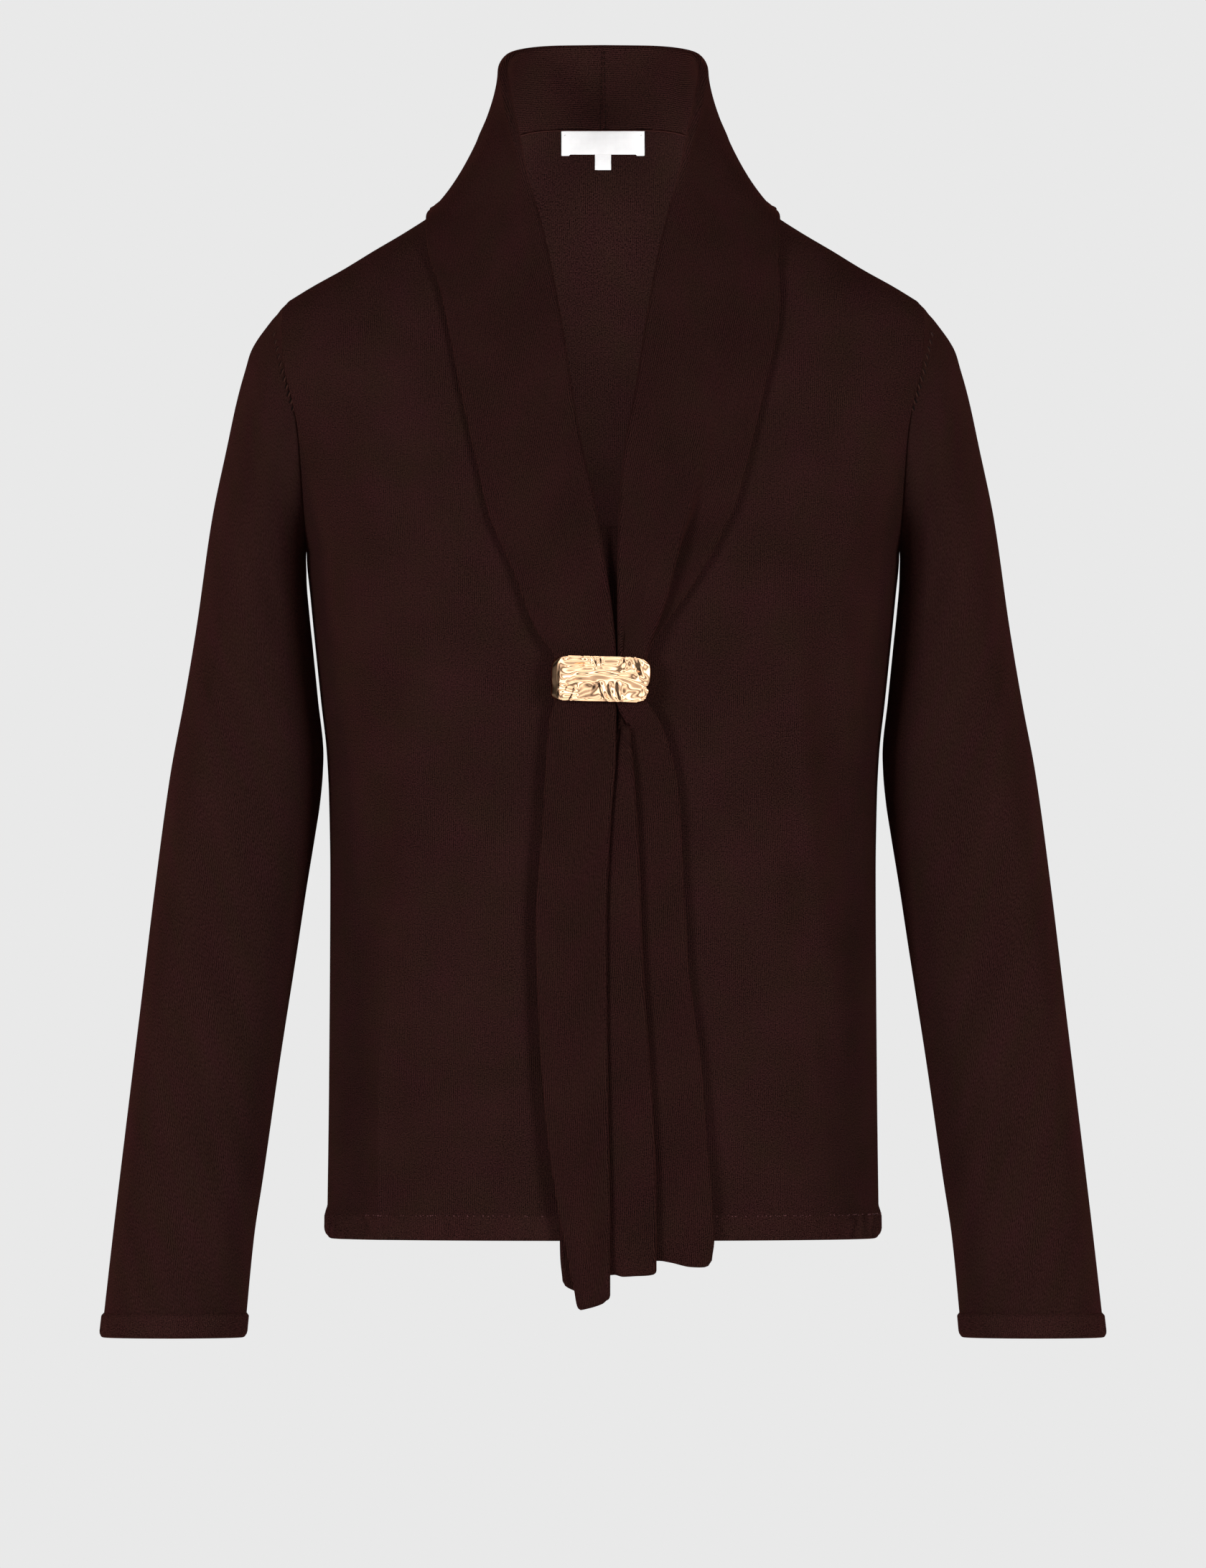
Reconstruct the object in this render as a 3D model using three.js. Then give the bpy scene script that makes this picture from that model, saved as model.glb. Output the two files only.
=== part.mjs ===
// A shawl collar sweater, filled out as it is worn but with nobody in it.
// Millimetres, +Z up, the front faces -Y and +X is the wearer's left. The origin lies between the
// tops of the two shoulder seams, where the neck holds the garment up. Every piece of cloth is a
// wall of its real thickness, cut as the knitter would cut it, and 0.3 mm from what it is sewn to.
import * as THREE from 'three';

// Driving sizes.
const clothThick = 1.5;
const collarThick = 1.6;
const bandThick = 2.4;
const labelThick = 1;
const seamGap = 0.3;
const roundness = 2.4; // of the body's oval sections: 2 is an ellipse, more is squarer

const hemSeam = -599;
const hemEdge = -612.8;
const cuffSeam = -655;
const cuffEdge = -669.6;
const vBase = -200; // top edge of the front panel at the middle
const frontNeckTop = 6; // where the front panel's two straps end, just under the shoulder seam's top
const neckRise = 17; // how far the back neck climbs above the shoulder seams' tops

const shoulder = { x: 184, z: -68 };
const armpit = { x: 172, z: -215 };
const armholeDepth = 52; // half of the armhole's width, front to back
const neckPoint = { x: 70, z: 14 }; // top of the shoulder seam

const buckle = {
  x: -1.3, z: -288, halfWide: 28.8, halfHigh: 13, back: 0.8, front: 12.3, wall: 1.3, tilt: 1.5, corner: 3,
};

// A smooth curve through the rows of a table: give a value of the first column, get the others.
function table(names, rows) {
  const keys = names.split(' ');
  const from = rows.map((row) => row[0]);
  const rising = from[from.length - 1] > from[0];
  const slopeAt = (i, k) => {
    const before = Math.max(i - 1, 0);
    const after = Math.min(i + 1, rows.length - 1);
    const left = i === before ? Infinity : (rows[i][k] - rows[before][k]) / (from[i] - from[before]);
    const right = i === after ? Infinity : (rows[after][k] - rows[i][k]) / (from[after] - from[i]);
    if (left === Infinity) return right;
    if (right === Infinity) return left;
    return left * right <= 0 ? 0 : (2 * left * right) / (left + right);
  };
  return (value) => {
    let i = 0;
    while (i < rows.length - 2 && (rising ? value > from[i + 1] : value < from[i + 1])) i += 1;
    const span = from[i + 1] - from[i];
    const t = Math.min(Math.max((value - from[i]) / span, 0), 1);
    const found = { [keys[0]]: value };
    for (let k = 1; k < keys.length; k += 1) {
      const a = rows[i][k];
      const b = rows[i + 1][k];
      const t2 = t * t;
      const t3 = t2 * t;
      found[keys[k]] = (2 * t3 - 3 * t2 + 1) * a + (t3 - 2 * t2 + t) * span * slopeAt(i, k)
        + (3 * t2 - 2 * t3) * b + (t3 - t2) * span * slopeAt(i + 1, k);
    }
    return found;
  };
}

const steps = (from, to, count) => Array.from(
  { length: count + 1 }, (_, i) => from + ((to - from) * i) / count);
const mix = (a, b, t) => a + (b - a) * t;
const smooth = (t) => {
  const s = Math.min(Math.max(t, 0), 1);
  return s * s * (3 - 2 * s);
};
const degrees = Math.PI / 180;

// The body: half width at the side seams, and how far front and back stand out, by height.
const bodySizes = table('z half front back', [
  [-640, 160.5, 105, 101],
  [-599, 160, 105, 100],
  [-520, 159, 104, 97],
  [-400, 158.3, 106, 92],
  [-360, 158.9, 108.5, 93],
  [-332, 160.2, 110, 94],
  [-300, 163.7, 112, 95],
  [-240, 169.8, 118, 98],
  [-215, 172, 116, 98],
  [-180, 172, 108, 97],
  [-120, 172, 88, 90],
  [-68, 172, 66, 77],
  [-30, 172, 52, 69],
  [0, 172, 43, 64],
  [33, 172, 38, 62],
]);
const armholeLine = table('z x', [
  [-215, 172], [-197, 173], [-170, 174.6], [-142, 178.4], [-118, 182.6], [-93, 185.6], [-68, 184],
]);
const shoulderLine = table('z x', [
  [-68, 184], [-60, 170], [-50, 151], [-39, 133], [-29, 116], [-18, 99], [-6, 84], [4, 75.5], [14, 70],
]);
const frontNeckLine = table('z x', [
  [-200, 15], [-180, 21], [-150, 30], [-125, 37.5], [-95, 46], [-62, 54], [-30, 61], [-4, 66], [14, 68.5],
]);

// The largest folds of front and back: soft ridges, and troughs where height is below zero.
const frontFolds = [
  // from x, z to x, z; sideways bow; half width; height
  { x0: 111, z0: -240, x1: 152, z1: -540, bow: -9, wide: 9, high: 4.2 },
  { x0: 126, z0: -255, x1: 166, z1: -500, bow: -8, wide: 7, high: -3.2 },
  { x0: 134, z0: -235, x1: 158, z1: -345, bow: 0, wide: 6, high: 2.6 },
  { x0: 156, z0: -135, x1: 132, z1: -250, bow: 4, wide: 9, high: 2.6 },
  { x0: 92, z0: -330, x1: 104, z1: -560, bow: 5, wide: 12, high: 1.6 },
  { x0: -107, z0: -250, x1: -108, z1: -520, bow: -3, wide: 10, high: 2.6 },
  { x0: -128, z0: -350, x1: -150, z1: -500, bow: 3, wide: 8, high: -3 },
  { x0: -129, z0: -470, x1: -132, z1: -640, bow: 0, wide: 8, high: 2.6 },
  { x0: -48, z0: -370, x1: -50, z1: -600, bow: -2, wide: 9, high: 1.6 },
  { x0: -140, z0: -120, x1: -134, z1: -235, bow: 6, wide: 11, high: 2.4 },
];
const backFolds = [
  { x0: 60, z0: -150, x1: 104, z1: -430, bow: 8, wide: 14, high: 3.4 },
  { x0: 96, z0: -210, x1: 134, z1: -500, bow: -6, wide: 10, high: -3 },
  { x0: -70, z0: -170, x1: -98, z1: -480, bow: -7, wide: 13, high: 3 },
  { x0: -112, z0: -260, x1: -128, z1: -590, bow: 5, wide: 9, high: -2.6 },
  { x0: 8, z0: -250, x1: -14, z1: -600, bow: 9, wide: 16, high: 2.2 },
];

// How far the folds lift the cloth at a place: a bell across each fold, faded in and out along it.
function foldLift(folds, x, z) {
  return folds.reduce((sum, fold) => {
    const t = (z - fold.z0) / (fold.z1 - fold.z0);
    const middle = mix(fold.x0, fold.x1, t) + fold.bow * 4 * t * (1 - t);
    const across = Math.exp(-(((x - middle) / fold.wide) ** 2));
    return sum + fold.high * across * smooth(t / 0.25) * smooth((1 - t) / 0.25);
  }, 0);
}

const bodyMiddle = new THREE.Vector3(0, 0, -300);
const level = (offset) => offset.setZ(0); // keeps a rim level where the wall ends beside its neighbour

const power = (value, exponent) => Math.sign(value) * Math.abs(value) ** exponent;

// One level section of the front (side -1) or back (side 1): an oval that ends at the side seam,
// on the armhole or on the shoulder seam, depending on its height.
function section(side, z) {
  const sizes = bodySizes(z);
  const depth = side < 0 ? sizes.front : sizes.back;
  if (z <= armpit.z) return { depth, reach: sizes.half, last: Math.PI / 2 };
  if (z >= shoulder.z) return { depth, reach: shoulderLine(z).x, last: Math.PI / 2 };
  const middle = (shoulder.z + armpit.z) / 2;
  const halfHigh = (shoulder.z - armpit.z) / 2;
  const edgeDepth = armholeDepth * Math.sqrt(Math.max(0, 1 - ((z - middle) / halfHigh) ** 2));
  const last = Math.acos((edgeDepth / depth) ** (roundness / 2));
  return { depth, reach: armholeLine(z).x / Math.sin(last) ** (2 / roundness), last };
}

// A point of a section: across runs from -1 at one end to 1 at the other.
function onSection(side, z, across, proud = 0) {
  const { depth, reach, last } = section(side, z);
  const turn = across * last;
  const x = (reach + proud) * power(Math.sin(turn), 2 / roundness);
  const out = (depth + proud) * power(Math.cos(turn), 2 / roundness);
  const lift = foldLift(side < 0 ? frontFolds : backFolds, x, z) * Math.sqrt(Math.max(Math.cos(turn), 0));
  return new THREE.Vector3(x, side * (out + lift + seamGap / 2), z);
}

// Depth of the front's outer face under or beside x, also where the neck opening has cut it away.
function frontFace(x, z) {
  const { depth, reach } = section(-1, z);
  const share = Math.min(Math.abs(x) / reach, 0.999) ** roundness;
  return -(depth * (1 - share) ** (1 / roundness) + foldLift(frontFolds, x, z) + seamGap / 2);
}

function acrossOf(side, z, x) {
  const { reach, last } = section(side, z);
  return Math.asin((x / reach) ** (roundness / 2)) / last;
}

// A wall of cloth over a grid of points: rows along, columns across, closed when it goes all round.
// The points are the wall's face, or its middle when lift is half of the thickness, and the wall
// grows from them towards the inside point.
function wall(grid, thick, inside, options = {}) {
  const { closed = false, keep = () => true, lift = 0, trim = (offset) => offset } = options;
  const rows = grid.length;
  const columns = grid[0].length;
  const at = (i, j) => {
    const column = closed ? (j + columns) % columns : Math.min(Math.max(j, 0), columns - 1);
    return grid[Math.min(Math.max(i, 0), rows - 1)][column];
  };
  const normalAt = (i, j) => {
    const down = at(i + 1, j).clone().sub(at(i - 1, j));
    const along = at(i, j + 1).clone().sub(at(i, j - 1));
    return along.cross(down).normalize();
  };
  const facing = grid.reduce((sum, line, i) => sum + line.reduce(
    (part, point, j) => part + Math.sign(normalAt(i, j).dot(point.clone().sub(inside))), 0), 0);
  const outward = facing < 0 ? -1 : 1;
  const positions = [];
  const numbers = new Map();
  const vertex = (i, j, inner) => {
    const key = `${i} ${j} ${inner}`;
    if (numbers.has(key)) return numbers.get(key);
    const normal = normalAt(i, j).multiplyScalar(outward);
    const offset = trim(normal.multiplyScalar(inner ? lift - thick : lift), i, j);
    const point = at(i, j).clone().add(offset);
    positions.push(point.x, point.y, point.z);
    numbers.set(key, numbers.size);
    return numbers.size - 1;
  };
  const faces = [];
  const edges = new Map();
  const addFace = (...corners) => {
    faces.push([0, 1, 2].map((n) => vertex(corners[n][0], corners[n][1], false)));
    faces.push([0, 2, 1].map((n) => vertex(corners[n][0], corners[n][1], true)));
    for (let n = 0; n < 3; n += 1) {
      const start = corners[n];
      const end = corners[(n + 1) % 3];
      const back = `${end} ${start}`;
      if (edges.has(back)) edges.delete(back);
      else edges.set(`${start} ${end}`, [start, end]);
    }
  };
  const cellColumns = closed ? columns : columns - 1;
  for (let i = 0; i < rows - 1; i += 1) {
    for (let j = 0; j < cellColumns; j += 1) {
      if (!keep(i, j)) continue;
      const next = closed ? (j + 1) % columns : j + 1;
      const even = (i + j) % 2 === 0;
      const [a, b, c, d] = [[i, j], [i, next], [i + 1, next], [i + 1, j]];
      if (even) {
        addFace(a, b, c);
        addFace(a, c, d);
      } else {
        addFace(a, b, d);
        addFace(b, c, d);
      }
    }
  }
  for (const [start, end] of edges.values()) {
    const [a, b] = [vertex(...start, false), vertex(...end, false)];
    const [c, d] = [vertex(...start, true), vertex(...end, true)];
    faces.push([b, a, c], [b, c, d]);
  }
  const corner = (n) => new THREE.Vector3().fromArray(positions, 3 * n);
  const volume = faces.reduce((sum, [a, b, c]) => sum + corner(a).dot(corner(b).cross(corner(c))), 0);
  const geometry = new THREE.BufferGeometry();
  geometry.setAttribute('position', new THREE.Float32BufferAttribute(positions, 3));
  geometry.setIndex(faces.flatMap(([a, b, c]) => (volume < 0 ? [a, c, b] : [a, b, c])));
  return geometry;
}

// Heights of the rows between armpit and shoulder, as turns round the armhole from its lowest point.
const armholeMiddle = (shoulder.z + armpit.z) / 2;
const armholeHalf = (shoulder.z - armpit.z) / 2;
const vTurn = Math.acos((armholeMiddle - vBase) / armholeHalf);
const belowV = 3;
const armholeTurns = [...steps(0, vTurn, belowV), ...steps(vTurn, Math.PI, 8).slice(1)];
const armholeHeights = armholeTurns.map((turn) => armholeMiddle - armholeHalf * Math.cos(turn));

const frontHeights = [hemSeam, -568, -532, -496, -460, -424, -390, -358, -328, -299, -270, -242];
const backHeights = [hemSeam, -550, -500, -450, -400, -350, -305, -260];
const shoulderHeights = [-60, -50, -38, -24, -10];
const frontColumns = { side: 13, middle: 2 };
const backColumns = 20;

function frontPanel() {
  const heights = [...frontHeights, ...armholeHeights, ...shoulderHeights, frontNeckTop];
  const baseRow = frontHeights.length + belowV;
  const grid = heights.map((z) => {
    const split = acrossOf(-1, Math.max(z, vBase), frontNeckLine(Math.max(z, vBase)).x);
    const across = [
      ...steps(-1, -split, frontColumns.side),
      ...steps(-split, split, frontColumns.middle).slice(1),
      ...steps(split, 1, frontColumns.side).slice(1),
    ];
    return across.map((share) => onSection(-1, z, share));
  });
  const first = frontColumns.side;
  const last = first + frontColumns.middle;
  return wall(grid, clothThick, bodyMiddle, { keep: (i, j) => i < baseRow || j < first || j >= last });
}

// The back's rows above the shoulder points climb towards the middle, up to the back neck seam.
function backClimb(row, x) {
  const share = Math.min(Math.abs(x) / shoulderLine(Math.min(Math.max(row, shoulder.z), neckPoint.z)).x, 1);
  return neckRise * smooth((row - shoulder.z) / (neckPoint.z - shoulder.z)) * (1 - share ** 5);
}

function onBack(row, across, proud = 0) {
  if (row <= shoulder.z) return onSection(1, row, across, proud);
  const { reach, last } = section(1, row);
  const x = reach * power(Math.sin(across * last), 2 / roundness);
  const z = row + backClimb(row, x);
  const depth = bodySizes(z).back * power(Math.cos(across * last), 2 / roundness);
  return new THREE.Vector3(x, depth + seamGap / 2, z);
}

function backPanel() {
  const heights = [...backHeights, ...armholeHeights, ...shoulderHeights, 3, neckPoint.z];
  const grid = heights.map((z) => steps(-1, 1, backColumns).map((share) => onBack(z, share)));
  return wall(grid, clothThick, bodyMiddle);
}

// Hem bands: a ribbed edge that stands a little proud and rolls in at its lower edge.
function hemBand(side) {
  const profile = [
    { z: hemSeam - seamGap, proud: 0.3 },
    { z: hemSeam - 1.8, proud: 1.7 },
    { z: hemEdge + 2, proud: 2 },
    { z: hemEdge, proud: 0.9 },
  ];
  const columns = steps(-1, 1, backColumns);
  const grid = profile.map(({ z, proud }) => columns.map((share) => onSection(side, z, share, proud)));
  const trim = (offset, i, j) => (j % backColumns === 0 ? level(offset).setY(0) : level(offset));
  return wall(grid, bandThick, bodyMiddle.clone().setZ(hemSeam), { trim });
}

// A sleeve: level rings at the cuff that tip up to the armhole, between an outer and an inner line.
const sleeveRings = table('row outerZ innerZ', [
  [0, -68, -215], [1, -80, -217.5], [2, -95, -221], [3, -112, -226], [4, -132, -232], [5, -155, -241],
  [6, -180, -252], [7, -210, -268], [8, -245, -290], [9, -283, -318], [10, -323, -348], [12, -405, -417],
  [14, -490, -494], [16, -575, -576], [18, cuffSeam + seamGap, cuffSeam + seamGap],
]);
const sleeveOuter = table('z x', [
  [-68, 184.3], [-81, 193], [-91, 200], [-102, 205], [-122, 211.5], [-154, 218.5], [-195, 227], [-258, 236],
  [-300, 243], [-343, 251], [-410, 260], [-477, 268], [-543, 276], [-610, 284], [-672, 291],
]);
const sleeveInner = table('z x', [
  [-215, 172.3], [-230, 172], [-250, 170.4], [-268, 168.5], [-300, 165.2], [-332, 162], [-343, 162.4],
  [-360, 164], [-377, 166.6], [-410, 172], [-443, 177], [-510, 187.4], [-577, 197], [-610, 202], [-672, 208],
]);
const sleeveForm = table('z deep forward', [
  [-141, 52, 0], [-230, 49, 1], [-300, 46.5, -4], [-400, 45, -12], [-500, 42.5, -19], [-600, 39.5, -24],
  [-672, 37.5, -26],
]);
const sleeveRows = [0, 0.7, 1.5, 2.4, 3.4, 4.5, 5.7, 7, 8.3, 9.6, 10.9, 12.2, 13.6, 15, 16.5, 18];
const sleeveFolds = [
  // along the rows, turn round the sleeve in degrees from its inner line towards the front
  { row: 4.5, turn: 58, long: 1.7, wide: 14, high: -2.4 },
  { row: 5.6, turn: 30, long: 1.5, wide: 13, high: 1.8 },
  { row: 9.4, turn: 22, long: 2.2, wide: 15, high: -1.8 },
  { row: 12.6, turn: 104, long: 3.8, wide: 17, high: -1.6 },
  { row: 14.6, turn: 142, long: 3, wide: 15, high: 1.6 },
  { row: 5.2, turn: 318, long: 1.8, wide: 15, high: -2.2 },
  { row: 11.6, turn: 262, long: 3.6, wide: 17, high: -1.8 },
  { row: 14.4, turn: 236, long: 2.6, wide: 15, high: 1.4 },
];

function sleeveFoldLift(row, turn) {
  return sleeveFolds.reduce((sum, fold) => {
    const along = (row - fold.row) / fold.long;
    const across = (((turn / degrees - fold.turn + 540) % 360) - 180) / fold.wide;
    return sum + fold.high * Math.exp(-along * along - across * across);
  }, 0);
}

// A ring point: turn is 0 on the inner line, a half turn on the outer line, and passes the front first.
function onSleeve(side, outerZ, innerZ, turn, row, proud = 0) {
  const outerX = sleeveOuter(outerZ).x;
  const innerX = sleeveInner(innerZ).x;
  const { deep, forward } = sleeveForm((outerZ + innerZ) / 2);
  const lift = proud + sleeveFoldLift(row, turn);
  const halfX = (outerX - innerX) / 2;
  const halfZ = (outerZ - innerZ) / 2;
  const across = Math.hypot(halfX, halfZ);
  const share = -Math.cos(turn) * (1 + lift / across);
  const z = (outerZ + innerZ) / 2 + halfZ * share;
  const bow = armholeLine(z).x - mix(armpit.x, shoulder.x, (z - armpit.z) / (shoulder.z - armpit.z));
  const x = (outerX + innerX) / 2 + halfX * share + bow * smooth(1 - row / 3);
  return new THREE.Vector3(side * x, forward - (deep + lift) * Math.sin(turn), z);
}

const sleeveTurns = [
  ...armholeTurns,
  ...armholeTurns.slice(1, -1).reverse().map((turn) => 2 * Math.PI - turn),
];

function sleeve(side) {
  const grid = sleeveRows.map((row) => {
    const { outerZ, innerZ } = sleeveRings(row);
    return sleeveTurns.map((turn) => onSleeve(side, outerZ, innerZ, turn, row));
  });
  // At the armhole the wall turns in beside the body's edge, never across it.
  const trim = (offset, i) => {
    if (i === 0 && offset.x * side < 0) offset.x = 0;
    return i === sleeveRows.length - 1 ? level(offset) : offset;
  };
  return wall(grid, clothThick, new THREE.Vector3(side * 215, -8, -300), { closed: true, trim });
}

function cuff(side) {
  const profile = [
    { z: cuffSeam, proud: 0.2 },
    { z: cuffSeam - 1.6, proud: 1.1 },
    { z: cuffEdge + 2, proud: 1.2 },
    { z: cuffEdge, proud: 0.2 },
  ];
  const lastRow = sleeveRows[sleeveRows.length - 1];
  const ring = (z, proud) => sleeveTurns.map((turn) => onSleeve(side, z, z, turn, lastRow, proud));
  const grid = profile.map(({ z, proud }) => ring(z, proud));
  const middle = new THREE.Vector3(side * 248, -26, cuffSeam);
  return wall(grid, bandThick, middle, { closed: true, trim: level });
}

// The collar, one half a side. Round the neck its sections stand: a stand up from the neck seam, the
// roll, and the fall down to the outer edge. Down the front they lie on the body, folded double, and
// run on through the buckle as the tails. Across is measured out from the middle, on the half's side.
const backNeck = (across) => onBack(neckPoint.z, across);
const standingCollar = table('station seam rollX rollY rollZ edgeX edgeY edgeZ handle', [
  // seam is the share of the back neck from the middle to the shoulder, past 1 it goes down the front
  [0, 0, 0, 66, 80, 0, 82, -3, 30],
  [1, 0.27, 26, 63, 80.4, 34, 79, -4, 30],
  [2, 0.52, 44, 50, 79.6, 67, 66, -8, 30],
  [3, 0.78, 54.5, 28, 76.5, 88, 40, -12, 27],
  [4, 1, 58, 5, 68.5, 98.5, 7, -14.5, 24],
  [5, 1.25, 56, -14, 54, 101.5, -20, -21, 20],
  [6, 1.5, 51, -30, 32, 101, -36, -32, 16],
  [7, 1.8, 44.5, -42, 8, 99, -46, -50, 12],
  [8, 2, 37.5, -52, -18, 96, -54, -66, 10],
]);
const seamDown = table('seam z', [[1, 14], [1.25, 2], [1.5, -10], [1.8, -20], [2, -30]]);

// The half on the wearer's right is smooth; its tail lies on top, folded double.
const rightLying = table('station rollX rollZ edgeX edgeZ seamX seamZ low fold edgeHigh seamHigh', [
  [6, 50, 32, 99, -34, 65, -8, 1, 2.2, 3, -0.5],
  [7, 44, 7, 96, -50, 63, -18, 1.5, 2.2, 3, -0.5],
  [8, 36, -21, 92, -68, 59.6, -33, 2, 2.2, 3, -0.6],
  [9, 29.6, -49, 88, -88, 53, -62, 2.4, 2.2, 2.6, -0.7],
  [10, 23.3, -83, 83.5, -111, 45, -95, 2.6, 2.2, 2.6, -0.7],
  [11, 17, -124, 76, -146, 35, -130, 2.6, 2.1, 2.6, -0.7],
  [12, 11, -158, 70, -173, 25.6, -162, 2.6, 2, 2.6, -0.7],
  [13, 5.4, -181, 65, -193, 19, -184, 2.7, 2, 2.8, 1.2],
  [14, 1.7, -201, 58.5, -209, 15, -202, 2.8, 2, 3, 2.2],
  [15, -1.7, -223, 50, -228, 14, -224, 3, 1.9, 3.4, 2.4],
  [16, -5, -245, 42, -250, 13, -246, 3.2, 1.8, 4.2, 2.8],
  [17, -6.6, -260, 35, -264, 13, -261, 3.6, 1.6, 5, 3.4],
  [18, -7.4, -271, 29.2, -271, 13.5, -271, 3.9, 1.5, 6, 3.9],
  [19, -7.6, -276, 27.4, -276, 14, -276, 3.9, 1.5, 6.6, 3.9],
  [20, -7.6, -301, 27.4, -301, 15, -301, 3.9, 1.5, 6.6, 3.9],
  [21, -7.7, -310, 30, -310, 15, -310, 6.6, 1.5, 5.6, 4],
  [22, -7.6, -320, 31, -320, 15.6, -320, 7.6, 1.5, 5.4, 4],
  [23, -7.4, -335, 32, -335, 16, -335, 7.6, 1.5, 5.6, 4],
  [24, -4.6, -370, 34, -370, 17, -370, 7.4, 1.5, 6, 4.2],
  [25, -2.2, -430, 38, -430, 19, -430, 7.4, 1.5, 6.4, 4.4],
  [26, -2.6, -490, 36, -490, 20, -490, 7.4, 1.5, 6.6, 4.4],
  [27, -3.4, -545, 32, -545, 21.5, -545, 7.6, 1.5, 7, 4.6],
  [28, -4.2, -596, 25, -594, 24.6, -590, 8.8, 1.6, 8.4, 5.4],
  [29, -4.2, -618, 20.4, -617, 24.6, -612, 9.8, 1.6, 9.4, 6.6],
  [30, -4.2, -636, 17, -637, 24, -628, 9.4, 1.6, 9.2, 6.2],
  [31, -4.2, -648, 15, -651.6, 23, -641, 8.6, 1.6, 9, 5.4],
]);

// The half on the wearer's left is pleated: past the fold line its cloth turns under by its turn in
// degrees, runs back for the length under, and turns out again to the outer edge.
const leftLying = table(
  'station rollX rollZ edgeX edgeZ seamX seamZ low fold edgeHigh seamHigh foldX turn under lie groove', [
    [6, 51, 30, 101, -32, 65, -8, 1, 2.2, 3, -0.5, 80, 0, 2, 4, 0],
    [7, 45, 10, 101, -46, 63, -18, 1.5, 2.2, 3, -0.5, 77, 0, 2, 4, 0],
    [8, 38.5, -13, 102, -62, 59.6, -33, 2, 2.2, 3, -0.6, 75, 0, 2, 4, 0],
    [9, 31.5, -42, 101, -80, 53, -62, 2.4, 2.2, 2.6, -0.7, 73, 0, 2, 4, 0],
    [10, 25.5, -75, 97.5, -100, 45, -95, 2.6, 2.2, 2.6, -0.7, 69, 4, 2, 4, 0],
    [11, 18.5, -120, 88.5, -138, 35, -130, 2.6, 2.1, 2.6, -0.7, 61, 12, 2, 4, 0],
    [12, 12.5, -152, 82, -165, 25.6, -162, 2.6, 2, 2.6, -0.7, 54, 26, 2, 3.6, 0.4],
    [13, 9.8, -177, 76, -187, 19, -184, 2.7, 2, 2.8, 1.2, 49, 50, 2, 3.2, 1],
    [14, 8.6, -201, 68.5, -202, 15, -202, 2.8, 2, 3, 2.2, 44.5, 95, 1.6, 2.8, 1.6],
    [15, 8.1, -222, 60, -219, 14, -224, 3, 1.9, 3.2, 2.4, 40, 140, 2, 2.8, 2],
    [16, 8.1, -243, 48, -238, 13, -246, 3.2, 1.8, 3.2, 2.8, 35.5, 172, 4, 3, 2],
    [17, 8.2, -259, 36, -255, 13, -261, 3.6, 1.7, 3.6, 3.4, 30, 180, 5, 3.4, 1.8],
    [18, 8.4, -270.5, 26.4, -270, 13, -271, 3.9, 1.6, 4, 3.9, 24.4, 180, 5, 3.9, 1.4],
    [19, 8.4, -276, 24.8, -276, 13, -276, 3.9, 1.5, 4, 3.9, 22.8, 180, 5, 3.9, 1],
    [20, 8.4, -301, 24.6, -301, 12, -301, 3.9, 1.5, 4, 3.9, 20, 180, 3.6, 3.9, 0.6],
    [21, 8.5, -309, 28.5, -309, 11, -309, 2.4, 1.4, 4.4, 2.4, 16, 176, 1.2, 3, 0],
    [22, 7.2, -317, 35.5, -317, 9.6, -317, 2.2, 1.3, 5, 2.2, 14, 176, 0.8, 2.8, 0],
    [23, 4.4, -326, 40.4, -326, 6.8, -326, 2.2, 1.3, 4.6, 2.2, 14.2, 178, 1.6, 2.6, 0],
    [24, 1, -352, 44, -352, 3.4, -352, 2.2, 1.3, 4, 2.2, 16, 180, 4, 2.4, 0],
    [25, -3, -395, 46.4, -395, -0.6, -395, 2.2, 1.3, 3.8, 2.2, 19, 180, 5.5, 2.4, 0],
    [26, -5, -452, 51, -452, -2.6, -452, 2.2, 1.3, 3.8, 2.2, 22, 180, 6.5, 2.4, 0],
    [27, -6, -513, 57, -513, -3.6, -513, 2.2, 1.3, 4, 2.2, 26.4, 180, 7, 2.4, 0],
    [28, -6, -565, 60.2, -565, -3.6, -565, 2.6, 1.3, 4.8, 2.6, 28.2, 180, 7, 3, 0],
    [29, -5.6, -596, 62.4, -594, -3.2, -596, 3.8, 1.3, 5.4, 3.8, 28.8, 180, 7, 4, 0],
    [30, -5.4, -616, 63.4, -611, -3, -616, 4.8, 1.3, 6, 4.8, 28.8, 180, 7, 5, 0],
    [31, -5.4, -634, 62, -626, -3, -634, 4, 1.3, 5.4, 4, 28.8, 180, 7, 4.2, 0],
  ]);
const collarClear = 2.6; // from the body's face to the middle of the standing collar's wall
const pleatArc = 4; // length of cloth in each turn of the pleat
const grooveBack = 15; // the lapel's soft groove lies this far inside the pleat's fold line
const collarStations = [
  0, 1, 2, 2.7, 3.4, 4, 4.6, 5.3, 6, 7, 8, 9, 10, 11, 12, 13, 14, 15, 16, 17, 18, 19, 20, 21, 22, 23, 24, 25,
  26, 27, 28, 29, 30, 31,
];
const segments = { stand: 3, roll: 4, fall: 6, ahead: 5, turn: 3, beyond: 4 };

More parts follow.
